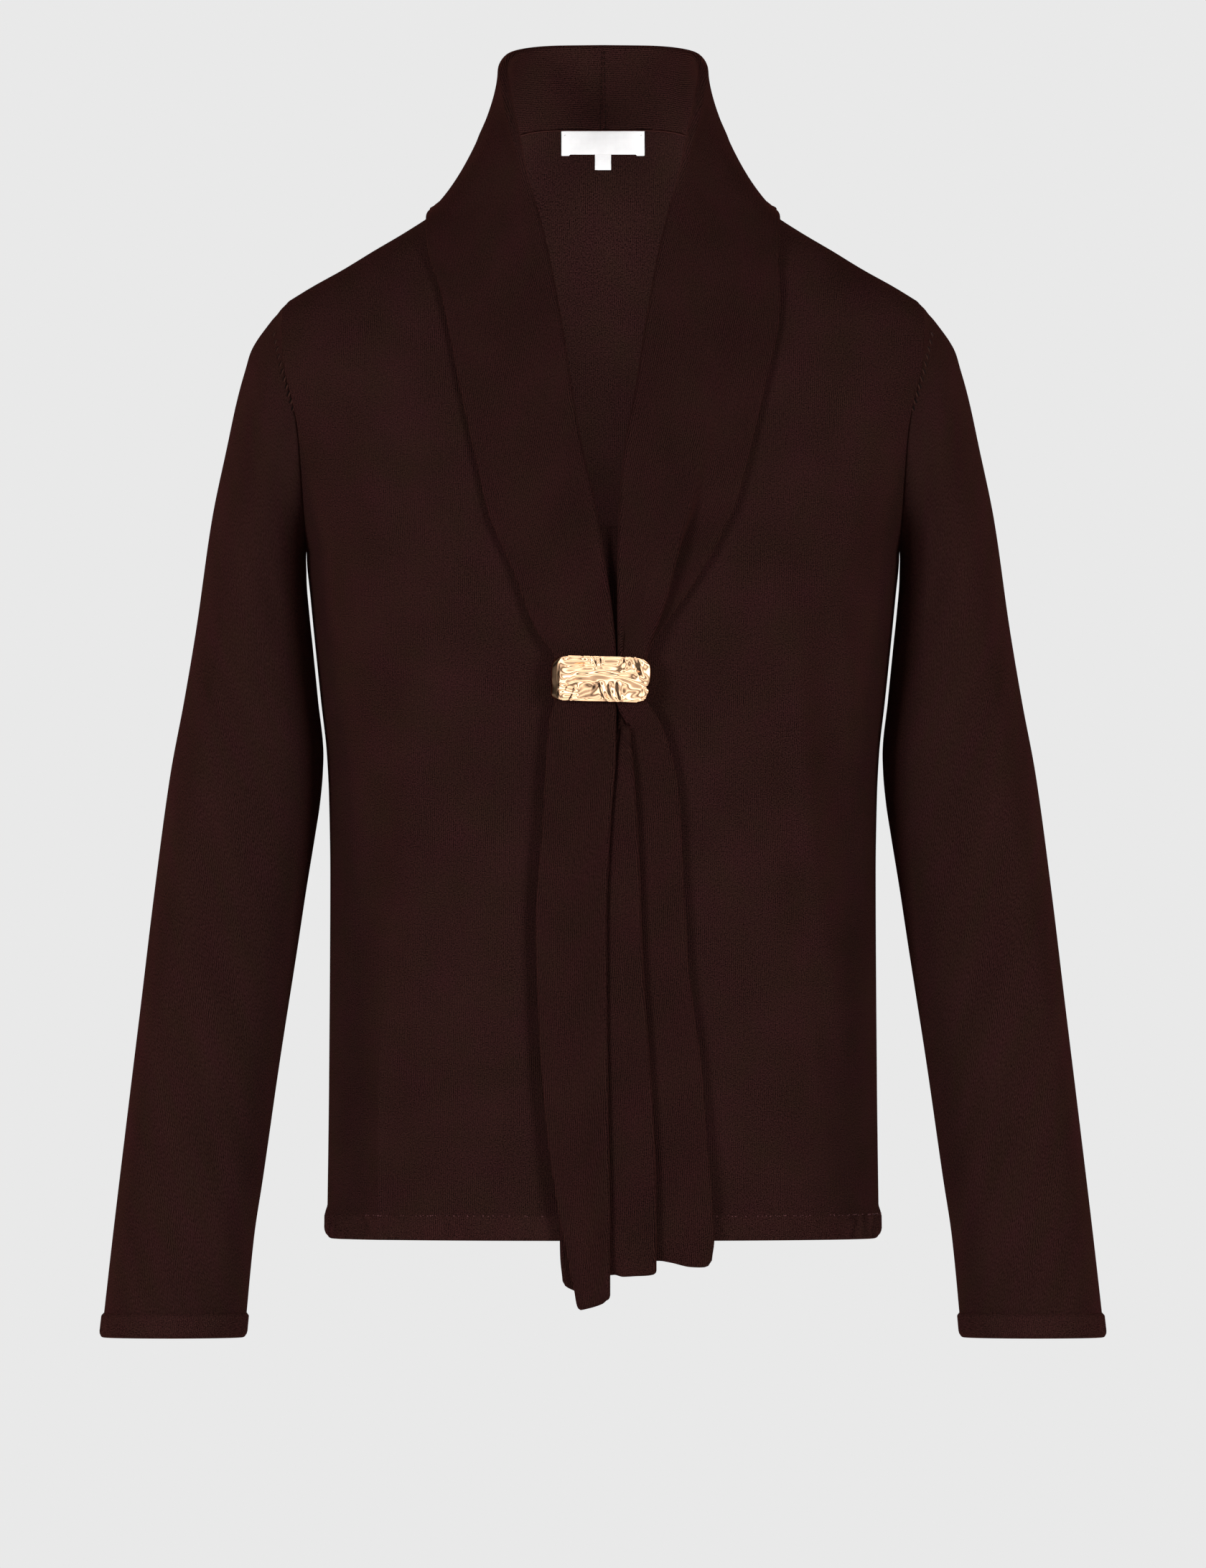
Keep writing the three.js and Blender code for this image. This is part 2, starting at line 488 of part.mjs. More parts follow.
// How far out of the body's oval a place is: 1 on its face.
function bodyShare({ x, y, z }) {
  let row = z;
  if (y > 0) {
    row = z - neckRise;
    for (let step = neckRise / 2; step > 0.01; step /= 2) {
      if (row + step + backClimb(row + step, x) < z) row += step;
    }
  }
  const { reach } = section(y < 0 ? -1 : 1, Math.min(row, neckPoint.z));
  const depth = y < 0 ? bodySizes(z).front : bodySizes(z).back;
  return (Math.abs(x) / reach) ** roundness + (Math.abs(y) / depth) ** roundness;
}

// Moves a point straight out of the body until it is clear of its face.
function clearOfBody(point, clearance) {
  const step = 0.5;
  const slope = (axis) => {
    const ahead = point.clone();
    const behind = point.clone();
    ahead[axis] += step;
    behind[axis] -= step;
    return bodyShare(ahead) - bodyShare(behind);
  };
  for (let n = 0; n < 60; n += 1) {
    const out = new THREE.Vector3(slope('x'), slope('y'), slope('z')).normalize();
    const face = point.clone().addScaledVector(out, -clearance);
    if (point.z > neckPoint.z + neckRise || bodyShare(face) >= 1) return;
    point.addScaledVector(out, step);
  }
}

function bezier(a, b, c, d, t) {
  const s = 1 - t;
  return new THREE.Vector3()
    .addScaledVector(a, s * s * s)
    .addScaledVector(b, 3 * s * s * t)
    .addScaledVector(c, 3 * s * t * t)
    .addScaledVector(d, t * t * t);
}

// A standing section: points from the neck seam over the roll to the outer edge.
function standingSection(station, side, fallCount) {
  const row = standingCollar(station);
  const neck = row.seam <= 1
    ? backNeck(row.seam)
    : new THREE.Vector3(0, 0, seamDown(row.seam).z);
  if (row.seam > 1) {
    neck.x = frontNeckLine(neck.z).x;
    neck.y = frontFace(neck.x, neck.z);
  }
  const inwards = new THREE.Vector3(-neck.x, -neck.y, 0).normalize();
  const seam = neck.clone().addScaledVector(inwards, 1.4).add(new THREE.Vector3(0, 0, 0.7));
  const tip = new THREE.Vector3(row.rollX, row.rollY, row.rollZ);
  const edge = new THREE.Vector3(row.edgeX, row.edgeY, row.edgeZ);
  const outwards = new THREE.Vector3(tip.x, tip.y, 0).normalize();
  const rise = tip.clone().sub(seam);
  const up = rise.clone().addScaledVector(outwards, -rise.dot(outwards)).normalize();
  const radius = 2.4;
  const centre = tip.clone().addScaledVector(up, -radius - collarThick / 2);
  const inner = centre.clone().addScaledVector(outwards, -radius);
  const outer = centre.clone().addScaledVector(outwards, radius);
  const points = steps(0, 1, segments.stand).map((t) => bezier(
    seam, seam.clone().addScaledVector(up, 12), inner.clone().addScaledVector(up, -12), inner, t));
  for (const t of steps(0, 1, segments.roll).slice(1)) {
    const turn = Math.PI * t;
    points.push(centre.clone()
      .addScaledVector(outwards, -radius * Math.cos(turn))
      .addScaledVector(up, radius * Math.sin(turn)));
  }
  const fallSide = new THREE.Vector3(edge.x, edge.y, 0).normalize();
  const lead = edge.clone().addScaledVector(fallSide, -row.handle * 0.6);
  lead.z += row.handle * 0.45;
  for (const t of steps(0, 1, fallCount).slice(1)) {
    points.push(bezier(outer, outer.clone().addScaledVector(up, -row.handle), lead, edge, t));
  }
  for (const point of points.slice(segments.stand + segments.roll)) clearOfBody(point, collarClear);
  for (const point of points) point.x *= side;
  return points;
}

// The pleat as steps of cloth: it turns under, runs back and turns out, falling as it goes.
function pleatSteps(turn, under) {
  const piece = pleatArc / segments.turn;
  const headings = [
    ...steps(0, 1, segments.turn).slice(1).map((t) => (t - 0.5 / segments.turn) * turn),
    turn,
    ...steps(0, 1, segments.turn).slice(1).map((t) => (1 - t + 0.5 / segments.turn) * turn),
  ];
  return headings.map((heading, i) => {
    const long = i === segments.turn ? under : piece;
    return { out: long * Math.cos(heading), high: -long * Math.sin(heading) };
  });
}

// A lying section: each point by how far out and how high over the body's face it is.
function lyingSection(row, side, pleated) {
  const flat = [];
  const tip = row.rollX + collarThick / 2;
  for (const t of steps(0, 1, segments.stand)) {
    const high = mix(row.seamHigh, row.low, smooth(t * 1.3));
    flat.push({ out: mix(row.seamX, tip + row.fold, t), high, t });
  }
  for (const t of steps(0, 1, segments.roll).slice(1)) {
    flat.push({
      out: tip + row.fold * (1 - Math.sin(Math.PI * t)),
      high: row.low + row.fold * (1 - Math.cos(Math.PI * t)),
      t: 1,
    });
  }
  const start = flat[flat.length - 1];
  if (pleated) {
    const pleat = pleatSteps(row.turn * degrees, row.under);
    const drop = pleat.reduce((sum, step) => sum - step.high, 0);
    for (const t of steps(0, 1, segments.ahead).slice(1)) {
      const out = mix(start.out, row.foldX, t);
      const dip = row.groove * Math.exp(-(((row.foldX - grooveBack - out) / 4) ** 2));
      flat.push({ out, high: mix(start.high, row.lie + drop, smooth(t)) - dip, t: 1 });
    }
    for (const step of pleat) {
      const before = flat[flat.length - 1];
      flat.push({ out: before.out + step.out, high: before.high + step.high, t: 1 });
    }
  }
  const from = flat[flat.length - 1];
  for (const t of steps(0, 1, pleated ? segments.beyond : segments.fall).slice(1)) {
    flat.push({ out: mix(from.out, row.edgeX, t), high: mix(from.high, row.edgeHigh, smooth(t)), t: 1 });
  }
  return flat.map(({ out, high, t }, n) => {
    const share = Math.min(Math.max((out - row.rollX) / (row.edgeX - row.rollX), 0), 1);
    const z = n <= segments.stand ? mix(row.seamZ, row.rollZ, t) : mix(row.rollZ, row.edgeZ, share);
    return new THREE.Vector3(side * out, frontFace(side * out, z) - high, z);
  });
}

function collarHalf(side) {
  const pleated = side > 0;
  const fallCount = pleated
    ? segments.ahead + 2 * segments.turn + 1 + segments.beyond
    : segments.fall;
  const lying = pleated ? leftLying : rightLying;
  const grid = collarStations.map((station) => {
    const laid = smooth((station - 6) / 2);
    const standing = laid < 1 ? standingSection(station, side, fallCount) : null;
    const flat = laid > 0 ? lyingSection(lying(station), side, pleated) : null;
    const points = standing && flat
      ? standing.map((point, n) => point.lerp(flat[n], laid))
      : standing ?? flat;
    if (station === 0) for (const point of points) point.x = (side * seamGap) / 2;
    return points;
  });
  // At the centre back seam the rim is square to the seam.
  const trim = (offset, i) => (i === 0 ? offset.setX(0) : offset);
  return wall(grid, collarThick, bodyMiddle, { lift: collarThick / 2, trim });
}

// The buckle: a flat loop round the gathered bands, its face beaten into dents.
const dents = [
  { x: -21, z: 5, wide: 7, deep: 0.5 },
  { x: -12, z: -6, wide: 6, deep: 0.6 },
  { x: -4, z: 6, wide: 6, deep: 0.5 },
  { x: 5, z: -4, wide: 7, deep: 0.6 },
  { x: 14, z: 7, wide: 6, deep: 0.5 },
  { x: 20, z: -6, wide: 6, deep: 0.5 },
  { x: -17, z: -9, wide: 5, deep: -0.5 },
  { x: 0, z: -1, wide: 5, deep: -0.6 },
  { x: 11, z: 0, wide: 5, deep: -0.5 },
  { x: -24, z: -3, wide: 4, deep: -0.4 },
];

function buckleOutline() {
  const { halfWide, back, front, corner } = buckle;
  const arc = (x, high, from) => steps(0, 90, 3).map((turn) => ({
    x: x + corner * Math.cos((from + turn) * degrees),
    high: high + corner * Math.sin((from + turn) * degrees),
  }));
  const x = halfWide - corner;
  return [
    ...arc(x, front - corner, 0),
    ...steps(x, -x, 12).slice(1, -1).map((across) => ({ x: across, high: front })),
    ...arc(-x, front - corner, 90),
    ...arc(-x, back + corner, 180),
    ...steps(-x, x, 5).slice(1, -1).map((across) => ({ x: across, high: back })),
    ...arc(x, back + corner, 270),
  ];
}

function buckleLoop() {
  const outline = buckleOutline();
  const tilt = -buckle.tilt * degrees;
  const grid = steps(1, -1, 6).map((share) => outline.map(({ x, high }) => {
    const face = smooth((high - buckle.front / 2) / (buckle.front / 2));
    const rounded = 2.4 * face * smooth((Math.abs(x) - 20) / 9) * (x < 0 ? 1 : 0.55);
    const z = share * (buckle.halfHigh - rounded);
    const dent = dents.reduce((sum, spot) => {
      const away = ((x - spot.x) ** 2 + (z - spot.z) ** 2) / spot.wide ** 2;
      return sum + spot.deep * Math.exp(-away);
    }, 0);
    const turnedX = buckle.x + x * Math.cos(tilt) - z * Math.sin(tilt);
    const turnedZ = buckle.z + x * Math.sin(tilt) + z * Math.cos(tilt);
    return new THREE.Vector3(turnedX, frontFace(0, turnedZ) - high + dent * face, turnedZ);
  }));
  const middle = new THREE.Vector3(buckle.x, frontFace(0, buckle.z) - buckle.front / 2, buckle.z);
  return wall(grid, buckle.wall, middle, { closed: true, trim: level });
}

// Bare woven labels inside the back neck, made from the back panel's points moved in.
function label({ x, halfWide, top, bottom, columns }) {
  const inwards = clothThick + seamGap;
  const grid = [top, bottom].map((z) => steps(x - halfWide, x + halfWide, columns).map((place) => {
    const sizes = bodySizes(z);
    const share = (Math.abs(place) / neckPoint.x) ** roundness;
    const depth = sizes.back * (1 - share) ** (1 / roundness);
    return new THREE.Vector3(place, depth + seamGap / 2 - inwards - 0.4, z);
  }));
  return wall(grid, labelThick, bodyMiddle);
}

const cloth = { color: 0x2b1716, roughness: 0.92, metalness: 0 };
const collarCloth = { color: 0x261412, roughness: 0.92, metalness: 0 };
const bandCloth = { color: 0x291516, roughness: 0.92, metalness: 0 };
const labelCloth = { color: 0xf0eeee, roughness: 0.6, metalness: 0 };
const gold = { color: 0xdabc9f, roughness: 0.18, metalness: 1 };

const group = new THREE.Group();
const add = (name, geometry, finish) => {
  const mesh = new THREE.Mesh(geometry, new THREE.MeshStandardMaterial(finish));
  mesh.name = name;
  group.add(mesh);
};

add('front_panel', frontPanel(), cloth);
add('back_panel', backPanel(), cloth);
add('sleeve_right', sleeve(-1), cloth);
add('sleeve_left', sleeve(1), cloth);
add('cuff_right', cuff(-1), bandCloth);
add('cuff_left', cuff(1), bandCloth);
add('front_hem_band', hemBand(-1), bandCloth);
add('back_hem_band', hemBand(1), bandCloth);
add('collar_right', collarHalf(-1), collarCloth);
add('collar_left', collarHalf(1), collarCloth);
add('buckle', buckleLoop(), gold);
add('neck_label', label({ x: 0, halfWide: 24, top: 30.4, bottom: 17, columns: 8 }), labelCloth);
add('size_tab', label({ x: 0, halfWide: 4.5, top: 16.7, bottom: 7.8, columns: 2 }), labelCloth);

export default group;
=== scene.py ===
"""A shawl collar sweater in fine brown knit, its tails gathered through a beaten gold slide.

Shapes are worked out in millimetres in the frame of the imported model: +Z up, the front faces -Y and
+X is the wearer's left. Every piece of cloth is a surface over two parameters, thickened to a thin
wall with rounded rims, and lies on the form of the solid that it stands for.
"""
import math
from functools import partial
from types import SimpleNamespace

import bpy
import numpy as np
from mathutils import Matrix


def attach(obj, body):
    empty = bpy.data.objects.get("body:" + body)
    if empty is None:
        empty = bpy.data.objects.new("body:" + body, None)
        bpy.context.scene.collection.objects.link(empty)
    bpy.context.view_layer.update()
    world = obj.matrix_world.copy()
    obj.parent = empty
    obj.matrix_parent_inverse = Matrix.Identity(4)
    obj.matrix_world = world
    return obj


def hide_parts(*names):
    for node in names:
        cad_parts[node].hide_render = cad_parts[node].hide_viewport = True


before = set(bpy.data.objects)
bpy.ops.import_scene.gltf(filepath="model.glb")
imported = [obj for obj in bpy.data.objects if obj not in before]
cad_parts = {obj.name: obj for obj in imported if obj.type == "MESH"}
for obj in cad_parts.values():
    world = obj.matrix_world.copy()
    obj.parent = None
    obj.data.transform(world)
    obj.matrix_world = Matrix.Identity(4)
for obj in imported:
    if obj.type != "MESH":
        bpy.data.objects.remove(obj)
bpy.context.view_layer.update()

METRES = 0.001  # one millimetre

# Driving sizes, in millimetres.
CLOTH = 1.5  # thickness of the body and sleeves
COLLAR = 1.6
BAND = 2.4
LABEL = 0.5
RIB, RIB_HIGH = 1.25, 0.16  # one rib of the bands with its groove
ROUNDNESS = 2.4  # of the body's oval sections: 2 is an ellipse, more is squarer
HEM_SEAM = -597.6
HEM_EDGE = -610.8
FLARE_FROM, FLARE = -592.2, 1.3  # the panels swell out from here down to the hem seam, by so much
CUFF_SEAM = -655.0
CUFF_EDGE = -668.5
V_BASE = -200.0
FRONT_NECK_TOP = 6.0
NECK_RISE = 18.8
SHOULDER_Z = -68.0
ARMPIT_Z = -215.0
ARMHOLE_DEPTH = 52.0
NECK_X, NECK_Z = 70.0, 14.0
ARMHOLE_MIDDLE = (SHOULDER_Z + ARMPIT_Z) / 2
ARMHOLE_HALF = (SHOULDER_Z - ARMPIT_Z) / 2
RIGHT, LEFT = -1, 1  # the wearer's sides, as signs of x
FRONT, BACK = -1, 1  # as signs of y
SIDES = ((RIGHT, "right"), (LEFT, "left"))
FACES = ((FRONT, "front"), (BACK, "back"))
BODY_MIDDLE = (0, 0, -300)


# ---------------------------------------------------------------- curves and grids

class Table:
    """A smooth curve through rows of numbers: give the first column, get the others by name.

    Between two rows it is a cubic. Its slope at a row is the harmonic mean of the slopes on both
    sides, or nought at a peak, so the curve never overshoots.
    """

    def __init__(self, names, rows):
        data = np.array(rows, float)
        if data[0, 0] > data[-1, 0]:
            data = data[::-1]
        self.names = names.split()[1:]
        self.key = data[:, 0]
        self.rows = data[:, 1:]
        rise = np.diff(self.rows, axis=0) / np.diff(self.key)[:, None]
        product = rise[:-1] * rise[1:]
        total = rise[:-1] + rise[1:]
        inner = np.where(product > 0, 2 * product / np.where(total == 0, 1, total), 0)
        self.slopes = np.vstack([rise[:1], inner, rise[-1:]])

    def __call__(self, value):
        value = np.asarray(value, float)
        i = np.clip(np.searchsorted(self.key, value, side="right") - 1, 0, len(self.key) - 2)
        span = (self.key[i + 1] - self.key[i])[..., None]
        t = np.clip((value - self.key[i])[..., None] / span, 0, 1)
        found = (
            (2 * t**3 - 3 * t**2 + 1) * self.rows[i]
            + (t**3 - 2 * t**2 + t) * span * self.slopes[i]
            + (3 * t**2 - 2 * t**3) * self.rows[i + 1]
            + (t**3 - t**2) * span * self.slopes[i + 1]
        )
        return SimpleNamespace(**{name: found[..., k] for k, name in enumerate(self.names)})


def smooth(t):
    """Nought to one with level ends: 3t² - 2t³."""
    s = np.clip(t, 0, 1)
    return s * s * (3 - 2 * s)


def mix(a, b, t):
    return a + (b - a) * t


def power(value, exponent):
    """A power that keeps the sign."""
    return np.sign(value) * np.abs(value) ** exponent


def vector(x, y, z):
    return np.stack(np.broadcast_arrays(x, y, z), -1).astype(float)


def unit(v):
    return v / np.maximum(np.linalg.norm(v, axis=-1, keepdims=True), 1e-9)


def run(grid, axis):
    """Distance travelled over the grid along one axis, from its first line."""
    steps = np.linalg.norm(np.diff(grid, axis=axis), axis=2)
    start = np.zeros_like(np.take(steps, [0], axis=axis))
    return np.concatenate([start, np.cumsum(steps, axis=axis)], axis=axis)


def bezier(a, b, c, d, t):
    """Cubic curves with the ends a and d and the handles b and c, one for each row."""
    t = t[:, None]
    s = 1 - t
    a, b, c, d = (p[:, None] for p in (a, b, c, d))
    return a * s**3 + 3 * b * s * s * t + 3 * c * s * t * t + d * t**3


def ridges(rows, x, z):
    """Height of soft ridges, troughs where high is below nought.

    Each row is x0, z0, x1, z1, bow, wide, high: a bell of that half width across a bowed line from
    the first point to the second, faded in and out over a quarter of its length at each end.
    """
    height = 0.0
    for x0, z0, x1, z1, bow, wide, high in rows:
        t = (z - z0) / (z1 - z0)
        middle = mix(x0, x1, t) + bow * 4 * t * (1 - t)
        bell = np.exp(-(((x - middle) / wide) ** 2))
        height = height + high * bell * smooth(t / 0.25) * smooth((1 - t) / 0.25)
    return height


# ---------------------------------------------------------------- meshes

def make_object(name, points, faces, material, uv=None):
    """A smooth-shaded mesh from points in millimetres and a list of faces.

    uv has one row for each face corner.
    """
    mesh = bpy.data.meshes.new(name)
    mesh.from_pydata((points * METRES).tolist(), [], faces)
    mesh.polygons.foreach_set("use_smooth", np.ones(len(faces), bool))
    if uv is not None:
        layer = mesh.uv_layers.new(name="cloth")
        layer.uv.foreach_set("vector", (uv * METRES).astype(np.float32).ravel())
    mesh.materials.append(material)
    mesh.update()
    made = bpy.data.objects.new(name, mesh)
    bpy.context.scene.collection.objects.link(made)
    return made


def outward_normals(grid, closed, inside):
    """The grid's normals, away from the inside point, and -1 if they had to be turned over for that."""
    high = np.concatenate([grid[:1], grid, grid[-1:]])
    down = high[2:] - high[:-2]
    if closed:
        along = np.roll(grid, -1, 1) - np.roll(grid, 1, 1)
    else:
        wide = np.concatenate([grid[:, :1], grid, grid[:, -1:]], 1)
        along = wide[:, 2:] - wide[:, :-2]
    normal = unit(np.cross(along, down))
    facing = np.sign((normal * (grid - np.array(inside, float))).sum(2)).sum()
    outward = -1 if facing < 0 else 1
    return normal * outward, outward


def grid_faces(rows, columns, closed=False, keep=None):
    """The row and column of each cell's first corner, and its four corners as point numbers."""
    i, j = np.meshgrid(np.arange(rows - 1), np.arange(columns if closed else columns - 1), indexing="ij")
    if keep is not None:
        i, j = i[keep], j[keep]
    i, j = i.ravel(), j.ravel()
    after = (j + 1) % columns
    line, next_line = i * columns, (i + 1) * columns
    return i, j, np.stack([line + j, line + after, next_line + after, next_line + j], 1)


def rim_edges(quads, places, count):
    """Edges that belong to one face only: their start and end points, and those points' flat places.

    Each keeps the direction in which its face runs past it.
    """
    starts = quads.ravel()
    ends = np.roll(quads, -1, 1).ravel()
    start_uv = places.reshape(-1, 2)
    end_uv = np.roll(places, -1, 1).reshape(-1, 2)
    key = np.minimum(starts, ends) * count + np.maximum(starts, ends)
    _, first, times = np.unique(key, return_index=True, return_counts=True)
    rim = first[times == 1]
    return starts[rim], ends[rim], start_uv[rim], end_uv[rim]


def wall(name, grid, thick, inside, material, uv, closed=False, keep=None, lift=0.0, bulge=0.3,
         relief=0.0, trim=None):
    """A thin closed wall of cloth over a grid of points.

    The outer face is the grid moved out along its normals by lift and relief, the inner face lies
    thick behind it, and every rim is half an ellipse that stands bulge beyond the grid's edge.
    Out is the side away from the inside point. uv gives each grid point its place on the flat
    cloth, and has one column more than the grid where the grid closes on itself. keep says which
    cells have cloth, and trim changes the moves, so that a rim ends level.
    """
    rows, columns = grid.shape[:2]
    count = rows * columns
    normal, outward = outward_normals(grid, closed, inside)
    relief = np.broadcast_to(relief, (rows, columns))[..., None]
    out_by = normal * (lift + relief)
    in_by = normal * (lift - thick)
    if trim is not None:
        out_by = trim(out_by)
        in_by = trim(in_by)
    outer = (grid + out_by).reshape(-1, 3)
    inner = (grid + in_by).reshape(-1, 3)

    i, j, quads = grid_faces(rows, columns, closed, keep)
    places = np.stack([uv[i, j], uv[i, j + 1], uv[i + 1, j + 1], uv[i + 1, j]], 1)
    if outward < 0:
        quads, places = quads[:, ::-1], places[:, ::-1]
    starts, ends, start_uv, end_uv = rim_edges(quads, places, count)

    right_of = unit(np.cross(outer[ends] - outer[starts], normal.reshape(-1, 3)[starts]))
    beyond = np.zeros((count, 3))
    np.add.at(beyond, starts, right_of)
    np.add.at(beyond, ends, right_of)
    beyond = unit(beyond)
    bulges = np.broadcast_to(bulge, (rows, columns)).reshape(-1, 1)
    middle, half = (outer + inner) / 2, (outer - inner) / 2
    turns = np.radians([36, 72, 108, 144])
    rim_rings = [middle + half * math.cos(a) + beyond * bulges * math.sin(a) for a in turns]
    rings = [outer, *rim_rings, inner]
    points = np.concatenate(rings)

    faces = [quads, quads[:, ::-1] + (len(rings) - 1) * count]
    loops = [places.reshape(-1, 2), places[:, ::-1].reshape(-1, 2)]
    for ring in range(len(rings) - 1):
        here, there = ring * count, (ring + 1) * count
        faces.append(np.stack([ends + here, starts + here, starts + there, ends + there], 1))
        near, far = ring * thick / len(turns), (ring + 1) * thick / len(turns)
        corners = [end_uv + near, start_uv + near, start_uv + far, end_uv + far]
        loops.append(np.stack(corners, 1).reshape(-1, 2))
    faces = np.concatenate(faces)
    used, renumbered = np.unique(faces, return_inverse=True)
    faces = renumbered.reshape(faces.shape).tolist()
    return make_object(name, points[used], faces, material, np.concatenate(loops))


def plain_uv(grid, closed=False, across_from=0.0, along=None):
    """Flat places: across is the distance round from a share of the width, along is down the cloth."""
    full = np.concatenate([grid, grid[:, :1]], 1) if closed else grid
    across = run(full, 1)
    zero = np.take(across, [int(across_from * (full.shape[1] - 1))], axis=1)
    down = run(full, 0) if along is None else np.broadcast_to(along, across.shape)
    return np.stack([across - zero, down], -1)


def stitches(name, centre, along, out, long, wide, high, material):
    """Many short stitches as one mesh: each is a low ellipsoid, eight sides round and four rings long."""
    around = 8
    turn = np.linspace(0, 2 * math.pi, around, endpoint=False)
    ring = np.radians([30, 70, 110, 150])[:, None]
    shape = vector(np.cos(ring) + 0 * turn, np.sin(ring) * np.cos(turn), np.sin(ring) * np.sin(turn))
    shape = np.concatenate([[[1, 0, 0]], shape.reshape(-1, 3), [[-1, 0, 0]]])
    along = unit(along)
    out = unit(out - (out * along).sum(-1, keepdims=True) * along)
    side = np.cross(out, along)
    points = (
        centre[:, None]
        + along[:, None] * shape[:, :1] * np.reshape(long, (-1, 1, 1)) / 2
        + side[:, None] * shape[:, 1:2] * wide / 2
        + out[:, None] * shape[:, 2:] * high / 2
    )
    n = np.arange(around)
    m = (n + 1) % around
    tip = len(shape) - 1
    last = tip - around
    faces = [np.stack([0 * n, 1 + n, 1 + m, 1 + m], 1)]
    for r in range(1, last, around):
        faces.append(np.stack([r + n, r + around + n, r + around + m, r + m], 1))
    faces.append(np.stack([last + n, tip + 0 * n, tip + 0 * n, last + m], 1))
    one = np.concatenate(faces)
    every = (one[None] + (np.arange(len(centre)) * len(shape))[:, None, None]).reshape(-1, 4)
    # The two tips' faces name a point twice: they are triangles.
    rows = [list(dict.fromkeys(face)) for face in every.tolist()]
    return make_object(name, points.reshape(-1, 3), rows, material)


def finish_piece(piece, cad_node=None):
    """Says what a piece rides on, and hides the solid that it stands for."""
    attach(piece, "root")
    if cad_node:
        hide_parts(cad_node)


# ---------------------------------------------------------------- materials

def colour(code):
    """Linear colour from an sRGB hex value."""
    parts = [int(code[k:k + 2], 16) / 255 for k in (1, 3, 5)]
    return [p / 12.92 if p <= 0.04045 else ((p + 0.055) / 1.055) ** 2.4 for p in parts] + [1.0]


def node(tree, kind, inputs=(), **settings):
    """Adds a node: inputs are (socket, value or other node's output) pairs, settings its properties."""
    made = tree.nodes.new(kind)
    for key, value in settings.items():
        setattr(made, key, value)
    for socket, value in inputs:
        if isinstance(value, bpy.types.NodeSocket):
            tree.links.new(value, made.inputs[socket])
        else:
            made.inputs[socket].default_value = value
    return made


def new_material(name):
    material = bpy.data.materials.new(name)
    material.use_nodes = True
    tree = material.node_tree
    tree.nodes.clear()
    return material, tree


def calculate(tree, operation, *values):
    """The result of one maths node."""
    return node(tree, "ShaderNodeMath", list(enumerate(values)), operation=operation).outputs[0]


def blend(tree, share, first, second):
    """A colour between two others."""
    return node(tree, "ShaderNodeMix", [(0, share), (6, first), (7, second)], data_type="RGBA").outputs[2]


def bump(tree, strength, distance, height):
    """A surface direction tilted by a height; the distance is in metres."""
    inputs = [("Strength", strength), ("Distance", distance), ("Height", height)]
    return node(tree, "ShaderNodeBump", inputs).outputs[0]


def finish_material(tree, base, roughness, *others):
    """The material's one surface shader, joined to its output."""
    inputs = [("Base Color", base), ("Roughness", roughness), *others]
    shader = node(tree, "ShaderNodeBsdfPrincipled", inputs)
    node(tree, "ShaderNodeOutputMaterial", [("Surface", shader.outputs[0])])


def fine_knit(name, groove, red, brown, wale, course, ribbed):
    """Viscose and cotton yarn knitted on fine needles: wale and course are one stitch's two sizes.

    Columns of small V-shaped stitches run along the cloth. To the eye that is a soft matt brown with
    thin lengthwise lines and a little red where light grazes it. The dark between the columns is painted
    shade: the colour falls from the yarn's to the near-black groove colour where the stitch height is low.
    """
    material, tree = new_material(name)
    place = node(tree, "ShaderNodeUVMap", uv_map="cloth")
    apart = node(tree, "ShaderNodeSeparateXYZ", [(0, place.outputs[0])])
    maths = partial(calculate, tree)

    def noise(scale, detail):
        inputs = [("Vector", place.outputs[0]), ("Scale", scale), ("Detail", detail)]
        return maths("SUBTRACT", node(tree, "ShaderNodeTexNoise", inputs).outputs[0], 0.5)

    wander = maths("MULTIPLY", noise(90.0, 1.0), 1.4)
    column = maths("ADD", maths("DIVIDE", apart.outputs["X"], wale * METRES), wander)
    centred = maths("SUBTRACT", maths("FRACT", column), 0.5)
    leaning = maths("MULTIPLY", maths("ABSOLUTE", centred), 1.3)
    loops = maths("ADD", maths("DIVIDE", apart.outputs["Y"], course * METRES), leaning)
    # Where the cloth is taut the columns show, and elsewhere the loops blur into a fine grain.
    taut = maths("MULTIPLY_ADD", noise(28.0, 2.0), 3.0, ribbed)
    strength = node(tree, "ShaderNodeClamp", [(0, taut), (1, 0.1), (2, 1.3)]).outputs[0]
    round_yarn = maths("MULTIPLY", maths("COSINE", maths("MULTIPLY", centred, 2 * math.pi)), strength)
    legs = maths("MULTIPLY", maths("SINE", maths("MULTIPLY", loops, 2 * math.pi)), 0.22)
    grain = maths("MULTIPLY", noise(1400.0, 1.0), 7.5)
    height = maths("ADD", maths("ADD", round_yarn, legs), grain)
    cloudy = maths("MULTIPLY", noise(22.0, 4.0), 0.3)
    # Painted shade: where the stitch height is low the colour falls towards the groove colour; cloudy is
    # the yarn's own uneven tone.
    tone = maths("ADD", maths("MULTIPLY_ADD", height, 0.26, 0.5), cloudy)
    browner = maths("MULTIPLY_ADD", noise(40.0, 3.0), 1.6, 0.5)
    strand = blend(tree, browner, colour(red), colour(brown))
    finish_material(
        tree, blend(tree, tone, colour(groove), strand), 0.85,
        ("Normal", bump(tree, 0.6, 0.00016, height)), ("Specular IOR Level", 0.0),
        ("Sheen Weight", 0.16), ("Sheen Roughness", 0.2), ("Sheen Tint", colour("#9c5448")),
    )
    return material


